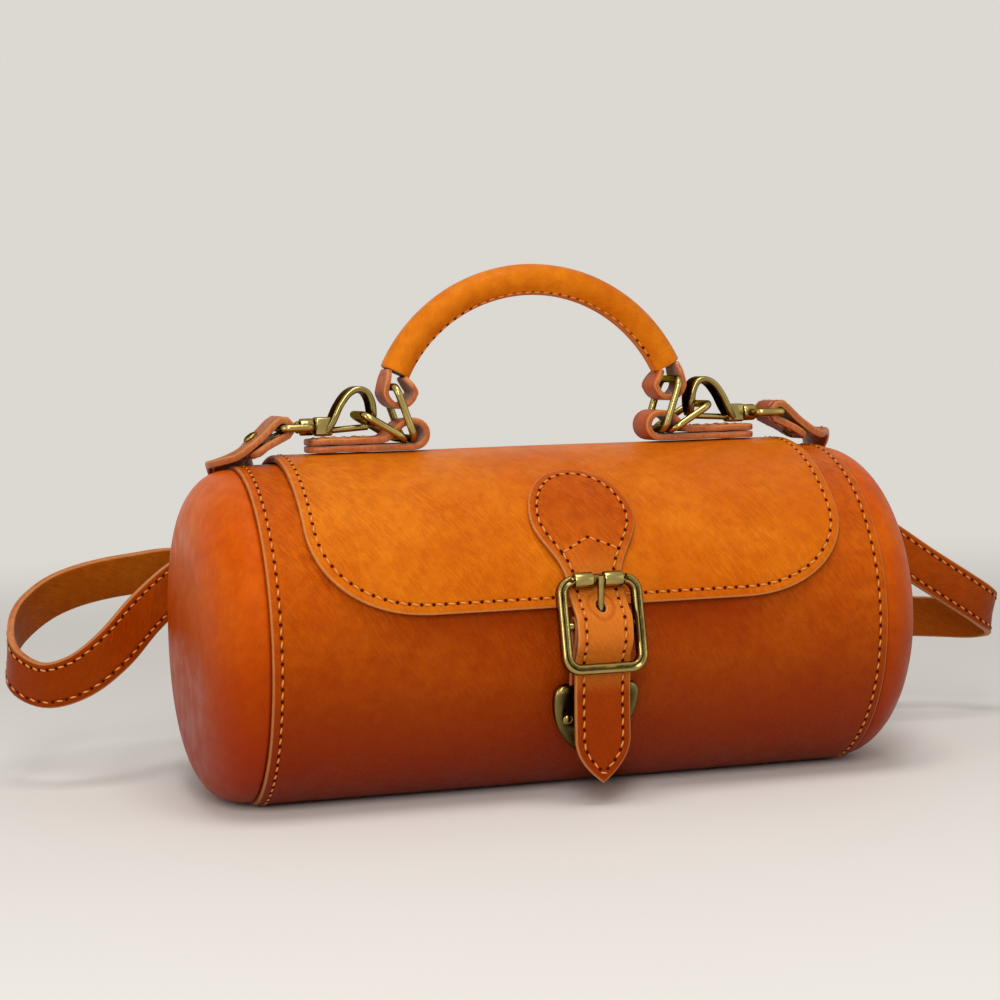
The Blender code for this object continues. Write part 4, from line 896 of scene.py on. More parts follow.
buckle = {"rollerAngle": 73.5, "tilt": 12.0, "width": 29.0 * mm, "height": 33.0 * mm, "corner": 4.4 * mm,
          "bar": 3.4 * mm, "depth": 4.1 * mm, "groove": 0.55 * mm, "rollerRadius": 2.6 * mm, "rollerBore": 1.5 * mm,
          "rollerLength": 16.4 * mm, "notchHalf": 1.75 * mm, "notchDepth": 0.7 * mm, "rollerEdge": 0.4 * mm,
          "pin": 1.15 * mm, "pinLength": 19.6 * mm, "centreBar": 1.25 * mm, "centreAlong": 14.5 * mm,
          "centreBack": 1.4 * mm, "rodEdge": 0.1 * mm}
prong = {"radius": 1.05 * mm, "boss": 2.5 * mm, "bossLength": 3.2 * mm, "lift": 0.35 * mm, "over": 1.6 * mm,
         "crossing": 0.4}
closure = {"thickness": 2.0 * mm, "middle": 61.5 * mm, "half": 9.4 * mm, "top": 31.5, "patchHalf": 18.0 * mm,
           "rise": 22.0 * mm, "fall": 23.0 * mm, "power": 1.9, "tipHeight": 7.6 * mm, "point": 15.0 * mm,
           "pointPower": 2.1, "holeHalf": 1.65 * mm, "holeTall": 2.9 * mm, "step": 1.5 * mm, "stitchInset": 2.8 * mm,
           "chevron": ((-9.6, 64.4), (-8.0, 63.4), (0.0, 59.4), (8.1, 62.8), (10.0, 63.6))}
chape = {"thickness": 1.6 * mm, "half": 9.4 * mm, "slot": 4.4 * mm, "inClasp": 8.0 * mm, "lap": 98.0}
clasp = {"top": 104.5, "height": 28.0 * mm, "half": 14.5 * mm, "thickness": 4.0 * mm, "corner": 3.5 * mm,
         "power": 2.3, "inner": 59.3 * mm, "baseInner": 57.8 * mm, "baseThickness": 1.2 * mm, "baseInset": 1.6 * mm,
         "rivetAngle": 115.2, "rivetSpread": 9.6 * mm, "rivetHead": 1.8 * mm, "rivetDome": 0.9 * mm}


def bucklePoint(along, out=0.0):
    # A point in the buckle's own plane, from the roller's axis
    start = onBarrel(0.0, buckle["rollerAngle"], 60.2 * mm + 0.6 * mm + closure["thickness"] + buckle["rollerRadius"])
    tilt = math.radians(buckle["tilt"])
    start.y -= along * math.sin(tilt) + out * math.cos(tilt)
    start.z -= along * math.cos(tilt) - out * math.sin(tilt)
    return start


def centreBar():
    return bucklePoint(buckle["centreAlong"], -buckle["centreBack"])


def prongTip():
    tip = bucklePoint(0.0)
    tip.y -= buckle["rollerRadius"] - buckle["notchDepth"] + prong["lift"] + prong["radius"]
    return tip


def barSection():
    # Two ridges with a groove between them, on the side that faces out
    across, deep = buckle["bar"] / 2, buckle["depth"] / 2
    groove = buckle["groove"]
    half = [(0.0, deep - groove), (across * 0.22, deep - groove * 0.62), (across * 0.42, deep - 0.02 * mm),
            (across * 0.62, deep), (across * 0.84, deep - 0.32 * mm), (across, deep * 0.55), (across, -deep * 0.4),
            (across * 0.86, -deep * 0.84), (across * 0.5, -deep)]
    return half + [(-x, y) for x, y in reversed(half[1:])]


def makeBuckle():
    print("buckle")
    half = (buckle["width"] - buckle["bar"]) / 2
    reach = buckle["height"] - buckle["rollerRadius"] - buckle["bar"] / 2
    shoulder = buckle["rollerLength"] / 2 + 0.35 * mm
    loop = roundedLoop(half, 0.0, reach, buckle["corner"])[1:]
    left, right = Vector((-shoulder, 0.0, 0.0)), Vector((shoulder, 0.0, 0.0))
    points = [left] + [Vector((-p.x, -p.y, 0.0)) for p in loop] + [right]
    top = bucklePoint(0.0)
    tilt = Matrix.Translation(top) @ Matrix.Rotation(math.radians(90.0 - buckle["tilt"]), 4, "X")
    made = wirePiece("buckle_bar", points, 0.0, brass, matrix=tilt, section=barSection())
    dress(made, "flap", "antique_brass", "buckle_frame")
    rod = rodProfile(buckle["pin"], buckle["pinLength"], buckle["rodEdge"])
    pin = turnedPiece("buckle_roller_pin", rod, aimed(top, (1, 0, 0)), darkBrass)
    dress(pin, "flap", "antique_brass")
    rod = rodProfile(buckle["centreBar"], 2 * half, buckle["rodEdge"])
    bar = turnedPiece("buckle_centre_bar", rod, aimed(centreBar(), (1, 0, 0)), darkBrass)
    dress(bar, "flap", "antique_brass")
    end, radius, bore = buckle["rollerLength"] / 2, buckle["rollerRadius"], buckle["rollerBore"]
    notch, edge, floor = buckle["notchHalf"], buckle["rollerEdge"], buckle["rollerRadius"] - buckle["notchDepth"]
    side = [(floor, notch), (radius - 0.12 * mm, notch + 0.28 * mm), (radius, notch + 0.6 * mm), (radius, end - edge),
            (radius - 0.12 * mm, end - 0.12 * mm), (radius - edge, end)]
    profile = [(bore, -end)] + [(r, -z) for r, z in reversed(side)] + side + [(bore, end), (bore, -end)]
    roller = turnedPiece("buckle_tube", profile, aimed(top, (1, 0, 0)), brass, 56)
    dress(roller, "roller", "antique_brass", "buckle_roller")
    axis, tip = centreBar(), prongTip()
    along = (tip - axis).normalized()
    rows = smoothLine([axis + along * prong["boss"] * 0.7, axis.lerp(tip, prong["crossing"]), tip,
                       tip + along * prong["over"]], 5)
    tongue = wirePiece("prong_tongue", rows, prong["radius"], brass)
    dress(tongue, "prong", "antique_brass", "buckle_prong")
    boss = rodProfile(prong["boss"], prong["bossLength"], 0.3 * mm, buckle["centreBar"] + play)
    made = turnedPiece("prong_loop", boss, aimed(axis, (1, 0, 0)), brass)
    dress(made, "prong", "antique_brass")


makeBuckle()


# Closure strap: egg-shaped patch, neck and pointed tail


def closureRoute():
    angles = evenly(closure["top"], buckle["rollerAngle"], 1.5)
    onFlap = [onBarrel(0.0, angle, closure["middle"]) for angle in angles]
    last = onFlap[-1]
    bar = centreBar()
    overBar = bar.y - buckle["centreBar"] - 0.6 * mm - chape["thickness"] - closure["thickness"] / 2
    low = bucklePoint(buckle["height"] - buckle["rollerRadius"] - buckle["bar"] / 2)
    underBar = low.y + buckle["bar"] * 0.6 + play + closure["thickness"] / 2
    # The drape between the roller, the centre bar and the lower bar
    free = [(last.y, last.z), (last.y - 2.6 * mm, last.z - 4.0 * mm), (last.y - 6.3 * mm, last.z - 8.0 * mm),
            (overBar + 0.7 * mm, bar.z + 3.0 * mm), (overBar - 0.2 * mm, bar.z - 0.8 * mm),
            (overBar - 0.1 * mm, bar.z - 5.0 * mm), (underBar - 0.9 * mm, low.z + 4.2 * mm),
            (underBar, low.z + 0.6 * mm), (underBar + 0.2 * mm, low.z - 3.0 * mm),
            (underBar + 0.9 * mm, low.z - 10.0 * mm), (underBar + 1.2 * mm, low.z - 20.0 * mm)]
    end = free[-1]
    drop = end[1] - closure["tipHeight"]
    tail = [Vector((0.0, end[0] + 0.1 * mm * i, end[1] - drop * i / 8)) for i in range(1, 9)]
    return Route(onFlap[:-1] + smoothLine([(0.0, y, z) for y, z in free], 5) + tail)


def closureHalf(length):
    neckEnd = closure["rise"] + closure["fall"]

    def width(distance):
        if distance < closure["rise"]:
            share = (closure["rise"] - distance) / closure["rise"]
            return closure["patchHalf"] * math.sqrt(max(1.0 - share ** closure["power"], 0.0))
        if distance < neckEnd:
            share = (distance - closure["rise"]) / closure["fall"]
            ease = 0.5 - 0.5 * math.cos(math.pi * share)
            return closure["patchHalf"] + (closure["half"] - closure["patchHalf"]) * ease
        share = max(distance - (length - closure["point"]), 0.0) / closure["point"]
        return closure["half"] * (1.0 - share ** closure["pointPower"])

    return width


def makeClosure():
    print("closure strap")
    route = closureRoute()
    width = closureHalf(route.length)
    crown = []
    for angle in evenly(1.5, 90.0, 3.5):
        crown.append(closure["rise"] * (1.0 - math.cos(math.radians(angle)) ** (2 / closure["power"])))
    pointStart = route.length - closure["point"]
    point = [pointStart + closure["point"] * math.sin(math.radians(a)) for a in evenly(0.0, 86.5, 3.5)[1:]]
    rows = crown + evenly(closure["rise"], pointStart, closure["step"])[1:] + point
    columns = columnsFor(closure["half"], closure["step"] * 0.7)
    sheet = BentSheet("strap", columns, rows, width, acrossRoute(route, 0), closure["thickness"], grain=-1)
    crossing = centreBar().lerp(prongTip(), prong["crossing"])
    station = min(evenly(50 * mm, 70 * mm, 0.2 * mm), key=lambda v: (route.at(v) - crossing).length)
    hole = [Vector((closure["holeHalf"] * math.cos(t), station + closure["holeTall"] * math.sin(t), 0.0))
            for t in evenly(0.0, 2 * math.pi, 0.3)[:-1]]
    sheet.cutHole(hole)
    made = sheet.finish((leathers["patch"], rawEdge, flesh))
    dress(made, "flap", "leather", "closure_strap")
    right = [(width(v), v) for v in rows]
    line = [p for p in insetLine(right, closure["stitchInset"]) if p[0] > 0.3 * mm]
    border = [(0.0, line[0][1])] + line + [(0.0, line[-1][1] + 0.8 * mm)]
    border += [(-u, v) for u, v in reversed(line)] + [(0.0, line[0][1])]
    chevron = []
    for u, angle in closure["chevron"]:
        chevron.append((u * mm, math.radians(angle - closure["top"]) * closure["middle"]))
    sewn("strap_stitches", "flap", sheet, [border, chevron], pitch=3.7 * mm)


makeClosure()


# Chape: the short strap from the clasp, over the centre bar, back to its lap


def chapeRoute():
    bar = centreBar()
    middle = clasp["inner"] + clasp["thickness"] / 2
    fold = buckle["centreBar"] + play + chape["thickness"] / 2
    endAngle = clasp["top"] + math.degrees(chape["inClasp"] / middle)
    onBody = [onBarrel(0.0, endAngle - 2.0 * i, middle) for i in range(7)]
    rise = [onBody[-1], Vector((0.0, bar.y + fold + 0.1 * mm, bar.z - 5.0 * mm)), Vector((0.0, bar.y + fold, bar.z))]
    over = [Vector((0.0, p.x, p.y)) for p in arcLine((bar.y, bar.z), fold, 0, 180, 16)]
    lap = onBarrel(0.0, chape["lap"], middle + chape["thickness"] + play)
    lapTop = onBarrel(0.0, chape["lap"] - 4.0, middle + chape["thickness"] + 0.6 * mm)
    down = [over[-1], Vector((0.0, over[-1].y + 1.0 * mm, bar.z - 4.2 * mm)), lapTop, lap]
    return Route(onBody[:-1] + smoothLine(rise, 5)[:-1] + over[:-1] + smoothLine(down, 5))


def makeChape():
    route = chapeRoute()
    bar = centreBar()
    columns = columnsFor(chape["half"], 1.5 * mm)
    rows = rowsFor(route.length, 0.9 * mm)
    sheet = BentSheet("chape_strap", columns, rows, lambda v: chape["half"], acrossRoute(route, 0), chape["thickness"])
    nearBar = [v for v in evenly(0.0, route.length, 0.3 * mm) if route.at(v).z > bar.z - 2.3 * mm]
    sheet.cutHole(roundedBox(chape["slot"] / 2, nearBar[0], nearBar[-1], 1.4 * mm))
    dress(sheet.finish((leathers["strap"], rawEdge, flesh)), "flap", "leather", "chape")


makeChape()


# Clasp: a thick shield with a rounded rim, and its plate on the body


def shieldPiece(name, inner, thickness, inset, edgeRound):
    half = clasp["half"] - inset
    length = clasp["height"] - 2 * inset
    corner = clasp["corner"]
    start = math.radians(clasp["top"]) * clasp["inner"] + inset

    def width(v):
        if v < corner:
            return half - corner + math.sqrt(max(corner ** 2 - (corner - v) ** 2, 0.0))
        share = (v - corner) / (length - corner)
        return half * max(1.0 - share ** clasp["power"], 0.02)

    def place(u, v):
        angle = math.degrees((start + v) / clasp["inner"])
        return onBarrel(u, angle, inner + thickness / 2)

    corners = [corner * (1 - math.cos(math.radians(a))) for a in evenly(0, 90, 9)]
    rows = corners + evenly(corner, length * 0.8, 1.0 * mm)[1:] + evenly(length * 0.8, length, 0.35 * mm)[1:]
    columns = columnsFor(half, 1.0 * mm)
    sheet = BentSheet(name, columns, rows, width, place, thickness, grain=-1)
    return sheet.finish((darkBrass,), edgeRound=edgeRound, edgeShare=0.42, shadeAngle=60.0)


def domeProfile(radius, foot, height, shank, depth):
    turns = [math.radians(a) for a in evenly(0.0, 90.0, 11.0)]
    out = [(radius * math.sin(t), foot + 0.25 * mm + height * math.cos(t)) for t in turns]
    return out + [(radius, foot), (shank, foot), (shank, -depth), (0.0, -depth)]


def makeClasp():
    print("clasp")
    shield = shieldPiece("clasp_shield", clasp["inner"], clasp["thickness"], 0.0, 1.9)
    dress(shield, "flap", "antique_brass", "clasp_tip")
    plate = shieldPiece("clasp_plate", clasp["baseInner"], clasp["baseThickness"], clasp["baseInset"], 0.5)
    dress(plate, "bag", "antique_brass", "clasp_base")
    face = clasp["inner"] + clasp["thickness"]
    for side, name in ((-1, "left"), (1, "right")):
        spot = onBarrel(side * clasp["rivetSpread"], clasp["rivetAngle"], face)
        out = onBarrel(0.0, clasp["rivetAngle"], 1.0) - onBarrel(0.0, clasp["rivetAngle"], 0.0)
        profile = domeProfile(clasp["rivetHead"], 0.1 * mm, clasp["rivetDome"], 0.8 * mm, 1.4 * mm)
        dress(turnedPiece("clasp_stud_" + name, profile, aimed(spot, out), brass), "flap", "antique_brass",
              "clasp_rivet_" + name)


makeClasp()


# Anchors: leather tabs folded round the rings' bars

anchor = {"thickness": 2.3 * mm, "base": 115.5 * mm, "half": 7.2 * mm, "corner": 5.0 * mm, "outer": 81.0 * mm,
          "lapStart": 56.0 * mm, "foldX": 44.5 * mm, "fold": 4.3 * mm, "step": 1.2 * mm, "wave": 0.1 * mm,
          "waveRate": 520.0, "waveRise": 8.0 * mm}
ring = {"wire": 1.3 * mm, "half": 9.5 * mm, "corner": 3.2 * mm, "height": 119.4 * mm, "handleX": 45.2 * mm,
        "strapX": 48.3 * mm, "handleLean": 19.0, "handleLength": 18.6 * mm, "strapLean": 59.0, "strapLength": 16.5 * mm}


def anchorRoute(side):
    low = anchor["base"] + anchor["thickness"] / 2
    lap = low + anchor["thickness"] + play
    flat = [Vector((x, low)) for x in evenly(anchor["outer"], anchor["foldX"], -3 * mm)]
    fold = arcLine((anchor["foldX"], low + anchor["fold"]), anchor["fold"], -90, -270, 20)
    over = [fold[-1], (anchor["foldX"] + anchor["fold"], low + 2 * anchor["fold"] - 0.9 * mm),
            (anchor["lapStart"] - 2 * mm, lap + 0.6 * mm), (anchor["lapStart"] + 2 * mm, lap)]
    tail = [Vector((x, lap)) for x in evenly(anchor["lapStart"] + 2 * mm, anchor["outer"], 3 * mm)[1:]]
    points = flat + fold[1:-1] + smoothLine([(x, z, 0.0) for x, z in over], 8) + tail
    return Route([(side * p[0], 0.0, p[1]) for p in points])


def makeAnchor(name, side):
    print("anchor", name)
    route = anchorRoute(side)
    rows, half = roundedEnds(anchor["half"], anchor["corner"], route.length, anchor["step"])

    def place(u, v):
        point = route.at(v)
        point.y = u
        # The two layers wave a little where they lie on each other
        inLap = abs(point.x) - anchor["lapStart"]
        if inLap > 0:
            shift, share = (2.0, 1.0) if v > route.length / 2 else (0.0, 0.6)
            wave = anchor["wave"] * math.sin(point.x * anchor["waveRate"] + shift)
            point.z += wave * min(inLap / anchor["waveRise"], 1.0) * share
        return point

    columns = columnsFor(anchor["half"], 1.3 * mm)
    sheet = BentSheet("anchor_" + name, columns, rows, half, place, anchor["thickness"], grain=-side)
    dress(sheet.finish((leathers["anchor"], rawEdge, flesh)), "bag", "leather", "anchor_tab_" + name)
    edge = anchor["half"] - 2.4 * mm
    lapFrom = route.length - (anchor["outer"] - anchor["lapStart"]) + 4 * mm
    nearEnd, end = route.length - 4 * mm, route.length - 2.6 * mm
    lines = [[(-edge, lapFrom), (-edge, nearEnd), (-edge + 2 * mm, end), (edge - 2 * mm, end), (edge, nearEnd),
              (edge, lapFrom), (-edge, lapFrom)]]
    sewn("anchor_stitches_" + name, "bag", sheet, lines, pitch=3.6 * mm)


def makeRing(piece, node, side, x, lean, length):
    points = [Vector((0.0, p.x, p.y)) for p in roundedLoop(ring["half"], 0.0, length, ring["corner"])]
    turn = Matrix.Rotation(math.radians(side * lean), 4, "Y")
    place = Matrix.Translation(Vector((side * x, 0.0, ring["height"]))) @ turn
    dress(wirePiece(piece, points, ring["wire"], brass, closed=True, matrix=place), node, "antique_brass", node)


for name, side in (("left", -1), ("right", 1)):
    makeAnchor(name, side)
    makeRing("grip_link_" + name, "handle_ring_" + name, side, ring["handleX"], ring["handleLean"],
             ring["handleLength"])
    makeRing("strap_link_" + name, "strap_ring_" + name, side, ring["strapX"], ring["strapLean"],
             ring["strapLength"])


# Handle: leather sewn round a core, and a loop of leather out of each end

handle = {"radius": 5.25 * mm, "wall": 1.9 * mm, "rise": 31.0 * mm, "endX": 49.3556 * mm, "endZ": 141.8866 * mm,
          "barZ": 136.9866 * mm, "seamTurn": -76.0, "around": 64}
loopStrap = {"half": 6.6 * mm, "thickness": 2.0 * mm, "eye": 5.1 * mm, "back": 0.5 * mm, "hang": 1.4 * mm,
             "spread": 2.9 * mm, "drop": 0.3 * mm, "endHalf": 4.2 * mm, "taper": 4.5 * mm}


def handleArc(count):
    radius = (handle["endX"] ** 2 + handle["rise"] ** 2) / (2 * handle["rise"])
    half = math.degrees(math.asin(handle["endX"] / radius))
    return arcLine((0.0, handle["endZ"] + handle["rise"] - radius), radius, 90 + half, 90 - half, count)


def makeGrip():
    print("handle")
    line = Route([(p.x, 0.0, p.y) for p in handleArc(96)])
    length = line.length
    wall = handle["wall"]

    def aroundGrip(v, turn):
        # The way along the grip at a distance, and the way out of it at a turn
        ahead = (line.at(min(v + 0.5 * mm, length)) - line.at(max(v - 0.5 * mm, 0.0))).normalized()
        up = Vector((-ahead.z, 0.0, ahead.x))
        return ahead, up * math.sin(turn) + Vector((0.0, -1.0, 0.0)) * math.cos(turn)

    # Rows along the tube: out of the bore at one end, along the outside, and back in at the other
    rows = [(4 * mm, handle["radius"] - wall), (0.0, handle["radius"] - wall), (0.0, handle["radius"] - 0.45 * mm),
            (0.12 * mm, handle["radius"] - 0.12 * mm), (0.5 * mm, handle["radius"])]
    body = [(v, handle["radius"]) for v in evenly(1.5 * mm, length - 1.5 * mm, 1.5 * mm)]
    rows = rows + body + [(length - v, r) for v, r in reversed(rows)]
    deselectAll()
    bpy.ops.mesh.primitive_grid_add(x_subdivisions=handle["around"], y_subdivisions=len(rows) - 1, size=2.0)
    grip = bpy.context.object
    grip.name = grip.data.name = "grip"
    data = grip.data
    spots, gaps = [], []
    seam = math.radians(handle["seamTurn"])
    for vert in data.vertices:
        turn = (vert.co.x + 1) * math.pi
        v, radius = rows[round((vert.co.y + 1) / 2 * (len(rows) - 1))]
        away = abs((turn - seam + math.pi) % (2 * math.pi) - math.pi) * radius
        # The seam is a slight ridge with a groove along its joint
        ridge = 0.28 * mm * math.exp(-((away - 1.6 * mm) / (1.2 * mm)) ** 2)
        lift = ridge - 0.35 * mm * math.exp(-(away / (0.35 * mm)) ** 2)
        centre = line.at(v)
        out = aroundGrip(v, turn)[1]
        spots += [turn * radius, v, 0.0]
        gaps.append(away)
        outer = radius > handle["radius"] - wall
        vert.co = centre + out * (radius + (lift if outer else 0.0) + 0.06 * mm * noise.noise(centre * 60.0 + out))
    data.attributes.new("cut", "FLOAT_VECTOR", "POINT").data.foreach_set("vector", spots)
    data.attributes.new("edge", "FLOAT", "POINT").data.foreach_set("value", gaps)
    editAll(grip, lambda: bpy.ops.mesh.remove_doubles(threshold=2e-6))
    highest = max(data.polygons, key=lambda face: face.center.z)
    if highest.normal.z < 0:
        editAll(grip, bpy.ops.mesh.flip_normals)
    data.materials.append(leathers["handle"])
    data.materials.append(rawEdge)
    # The cut leather shows at both ends of the tube
    tips = (line.at(0.0), line.at(length))
    headings = ((line.at(0.1 * mm) - tips[0]).normalized(), (tips[1] - line.at(length - 0.1 * mm)).normalized())
    for face in data.polygons:
        nearTip = min((face.center - tip).length for tip in tips) < 7 * mm
        if nearTip and max(abs(face.normal.dot(heading)) for heading in headings) > 0.9:
            face.material_index = 1
    smoothShade(grip, 50.0)
    dress(grip, "handle", "leather", "handle_grip")

    # One row of seam stitches, beside the joint
    stitches, holes = [], []
    count = round((length - 14 * mm) / (3.6 * mm))
    for i in range(count * 2 + 1):
        v = 7 * mm + (length - 14 * mm) * i / (count * 2)
        ahead, out = aroundGrip(v, seam + 1.7 * mm / handle["radius"])
        side = ahead.cross(out).normalized()
        rise = line.at(v) + out * (handle["radius"] + 0.26 * mm)
        place = Matrix.Translation(rise) @ Matrix((side, ahead, out)).transposed().to_4x4()
        (stitches if i % 2 else holes).append(place)
    sewing = repeatAlong("grip_stitches", (stitches, holes), (thread, needleHoleShade))
    dress(sewing, "handle", "leather")


def makeLoop(name, side):
    line = handleArc(22)
    end = line[-1]
    out = (end - line[-2]).normalized()
    across = Vector((out.y, -out.x))
    inner = end + across * loopStrap["spread"] + out * loopStrap["drop"]
    outer = end - across * loopStrap["spread"] + out * loopStrap["drop"]
    middle = (handle["endX"] - loopStrap["back"], handle["barZ"] - loopStrap["hang"])
    eye = arcLine(middle, loopStrap["eye"], 180, 360, 10)
    bend = smoothLine([(p[0], 0.0, p[1]) for p in [inner, *eye, outer]], 4)
    route = Route([(side * p.x, 0.0, p.z) for p in bend])

    def half(v):
        # Narrower at both ends, where it goes up into the grip
        near = 1.0 - min(min(v, route.length - v) / loopStrap["taper"], 1.0)
        return loopStrap["half"] - (loopStrap["half"] - loopStrap["endHalf"]) * near ** 2

    columns, rows = columnsFor(loopStrap["half"], 1.3 * mm), rowsFor(route.length, 0.8 * mm)
    place = acrossRoute(route, 1)
    sheet = BentSheet("loop_" + name, columns, rows, half, place, loopStrap["thickness"], grain=side)
    dress(sheet.finish((leathers["anchor"], rawEdge, flesh)), "handle", "leather", "handle_loop_" + name)


makeGrip()
makeLoop("left", -1)
makeLoop("right", 1)


# Snap hooks: a bent band with a block, a gate and a swivel's eye

hook = {"centreX": 63.5433 * mm, "centreZ": 127.6981 * mm, "thickness": 2.2 * mm, "half": 4.6 * mm, "root": 3.4 * mm,
        "nose": 2.2 * mm, "taper": 7.0 * mm, "blockX": 75.0433 * mm, "axisZ": 124.2981 * mm,
        "block": (6.0 * mm, 6.4 * mm), "blockEdge": 0.9 * mm, "gate": 1.1 * mm, "pin": 0.6 * mm,
        "pinLength": 6.6 * mm, "neck": 1.25 * mm, "head": 2.2 * mm,
        "headLength": 1.4 * mm, "bossRadius": 2.9 * mm, "bossLength": 4.6 * mm, "eyeX": 90.0433 * mm,
        "eyeHalf": 9.9 * mm, "eyeCorner": 1.8 * mm, "pivotX": 73.8433 * mm, "pivotZ": 122.7981 * mm,
        "bow": ((10.5, -5.6), (8.2, -1.4), (5.9, 3.3), (2.9, 7.2), (-0.3, 8.8), (-3.3, 8.0), (-5.0, 5.1), (-5.6, 1.4),
                (-5.7, -4.0))}


def makeHook(name, side):
    print("hook", name)
    body = "hook_" + name
    bow = [(side * (hook["centreX"] + x * mm), 0.0, hook["centreZ"] + z * mm) for x, z in hook["bow"]]
    route = Route(smoothLine(bow, 8))

    def half(v):
        root = max(1.0 - v / hook["taper"], 0.0)
        nose = max(1.0 - (route.length - v) / hook["taper"], 0.0)
        width = hook["half"] - (hook["half"] - hook["root"]) * root ** 2
        return width - (hook["half"] - hook["nose"]) * nose ** 2

    columns, rows = columnsFor(hook["half"], 1.0 * mm), rowsFor(route.length, 0.7 * mm)
    band = BentSheet("hook_band_" + name, columns, rows, half, acrossRoute(route, 1), hook["thickness"], grain=-side)
    dress(band.finish((darkBrass,), edgeRound=0.9, edgeShare=0.35, shadeAngle=60.0), body, "antique_brass",
          "hook_body_" + name)
    size = (hook["block"][0], hook["block"][1], hook["block"][1])
    block = bevelledBox("hook_block_" + name, size, Matrix.Translation((side * hook["blockX"], 0.0, hook["axisZ"])),
                        darkBrass, hook["blockEdge"])
    dress(block, body, "antique_brass")
    blockEnd = hook["blockX"] + hook["block"][0] / 2
    headStart = blockEnd + play + hook["bossLength"] + play
    reach = headStart - blockEnd
    neck = [(0.0, 0.0), (hook["neck"], 0.0), (hook["neck"], reach), (hook["head"] - 0.4 * mm, reach),
            (hook["head"], reach + 0.35 * mm), (hook["head"] * 0.8, reach + 1.15 * mm),
            (hook["head"] * 0.35, reach + hook["headLength"]), (0.0, reach + hook["headLength"])]
    made = turnedPiece("hook_neck_" + name, neck, aimed((side * blockEnd, 0.0, hook["axisZ"]), (side, 0, 0)), brass)
    dress(made, body, "antique_brass")
    pin = rodProfile(hook["pin"], hook["pinLength"], 0.15 * mm)
    made = turnedPiece("hook_pin_" + name, pin, aimed((side * hook["pivotX"], 0.0, hook["pivotZ"]), (0, 1, 0)), brass)
    dress(made, body, "antique_brass", "gate_pin_" + name)
    nose = hook["bow"][-1]
    end = hook["centreX"] + nose[0] * mm + hook["thickness"] / 2 + 0.4 * mm
    line = [(side * hook["pivotX"], 0.0, hook["pivotZ"]), (side * end, 0.0, hook["centreZ"] + nose[1] * mm)]
    latch = wirePiece("hook_latch_" + name, line, hook["gate"], brass)
    dress(latch, "gate_" + name, "antique_brass", "hook_gate_" + name)
    # The swivel's eye, which the strap is folded round
    bossX = blockEnd + play + hook["bossLength"] / 2
    loop = roundedLoop(hook["eyeHalf"], bossX, hook["eyeX"], hook["eyeCorner"])
    eye = [(side * p.y, p.x, hook["axisZ"]) for p in loop]
    made = wirePiece("swivel_loop_" + name, eye, ring["wire"], brass, closed=True)
    dress(made, "bag", "antique_brass", "strap_eye_" + name)
    boss = rodProfile(hook["bossRadius"], hook["bossLength"], 0.5 * mm, hook["neck"] + play)
    made = turnedPiece("swivel_boss_" + name, boss, aimed((side * bossX, 0.0, hook["axisZ"]), (1, 0, 0)), brass)
    dress(made, "bag", "antique_brass")


makeHook("left", -1)
makeHook("right", 1)


# Shoulder strap: one run of leather from hook to hook, round the back

shoulder = {"half": 8.0 * mm, "thickness": 2.6 * mm, "corner": 4.0 * mm, "lap": 14.0 * mm, "pinch": 7.5 * mm,
            "slack": 0.25 * mm, "fall": 35.0, "step": 2.0 * mm, "stitchInset": 2.3 * mm, "stud": 2.6 * mm,
            "studBack": 2.1 * mm, "studFromEnd": 4.5 * mm}
# Places in barrel radii, from the eye's bar at each side and from the origin behind, and the way across the strap
strapLeft = [
    ((-0.27, 0.12, -0.17), (0.75, 0.6, 0.1)), ((-0.24, 0.33, -0.20), (1.0, 0.25, 0.15)),
    ((-0.18, 0.59, -0.29), (0.98, 0.1, 0.2)), ((-0.16, 0.83, -0.45), (0.98, 0.0, 0.15)),
    ((-0.16, 1.03, -0.63), (1.0, 0.0, 0.0)), ((-0.21, 1.11, -0.79), (0.93, 0.0, -0.35)),
    ((-0.31, 1.10, -0.90), (0.7, 0.0, -0.7)), ((-0.49, 1.00, -0.99), (0.5, 0.0, -0.85)),
    ((-0.70, 0.83, -1.13), (0.52, 0.0, -0.85)), ((-0.92, 0.66, -1.32), (0.58, 0.0, -0.81)),
    ((-1.13, 0.68, -1.47), (0.4, 0.0, -0.9)), ((-1.34, 0.77, -1.52), (0.2, 0.0, -1.0)),
    ((-1.49, 0.96, -1.42), (0.0, 0.0, -1.0)), ((-1.45, 1.18, -1.23), (-0.1, 0.1, -1.0)),
    ((-1.27, 1.34, -1.08), (-0.1, 0.2, -1.0)), ((-1.03, 1.43, -0.99), (0.0, 0.3, -1.0)),
    ((-0.69, 1.50, -0.94), (0.0, 0.3, -1.0)), ((-0.31, 1.57, -0.94), (0.0, 0.2, -1.0)),
]
strapBehind = [
    ((-1.32, 1.72, 1.01), (0.0, 0.0, -1.0)), ((-0.70, 1.95, 0.59), (0.0, 0.0, -1.0)),
    ((0.00, 2.07, 0.31), (0.0, 0.0, -1.0)), ((0.73, 1.95, 0.35), (0.0, 0.0, -1.0)),
    ((1.46, 1.72, 0.52), (0.0, 0.0, -1.0)), ((2.17, 1.50, 0.64), (0.0, 0.0, -1.0)),
]
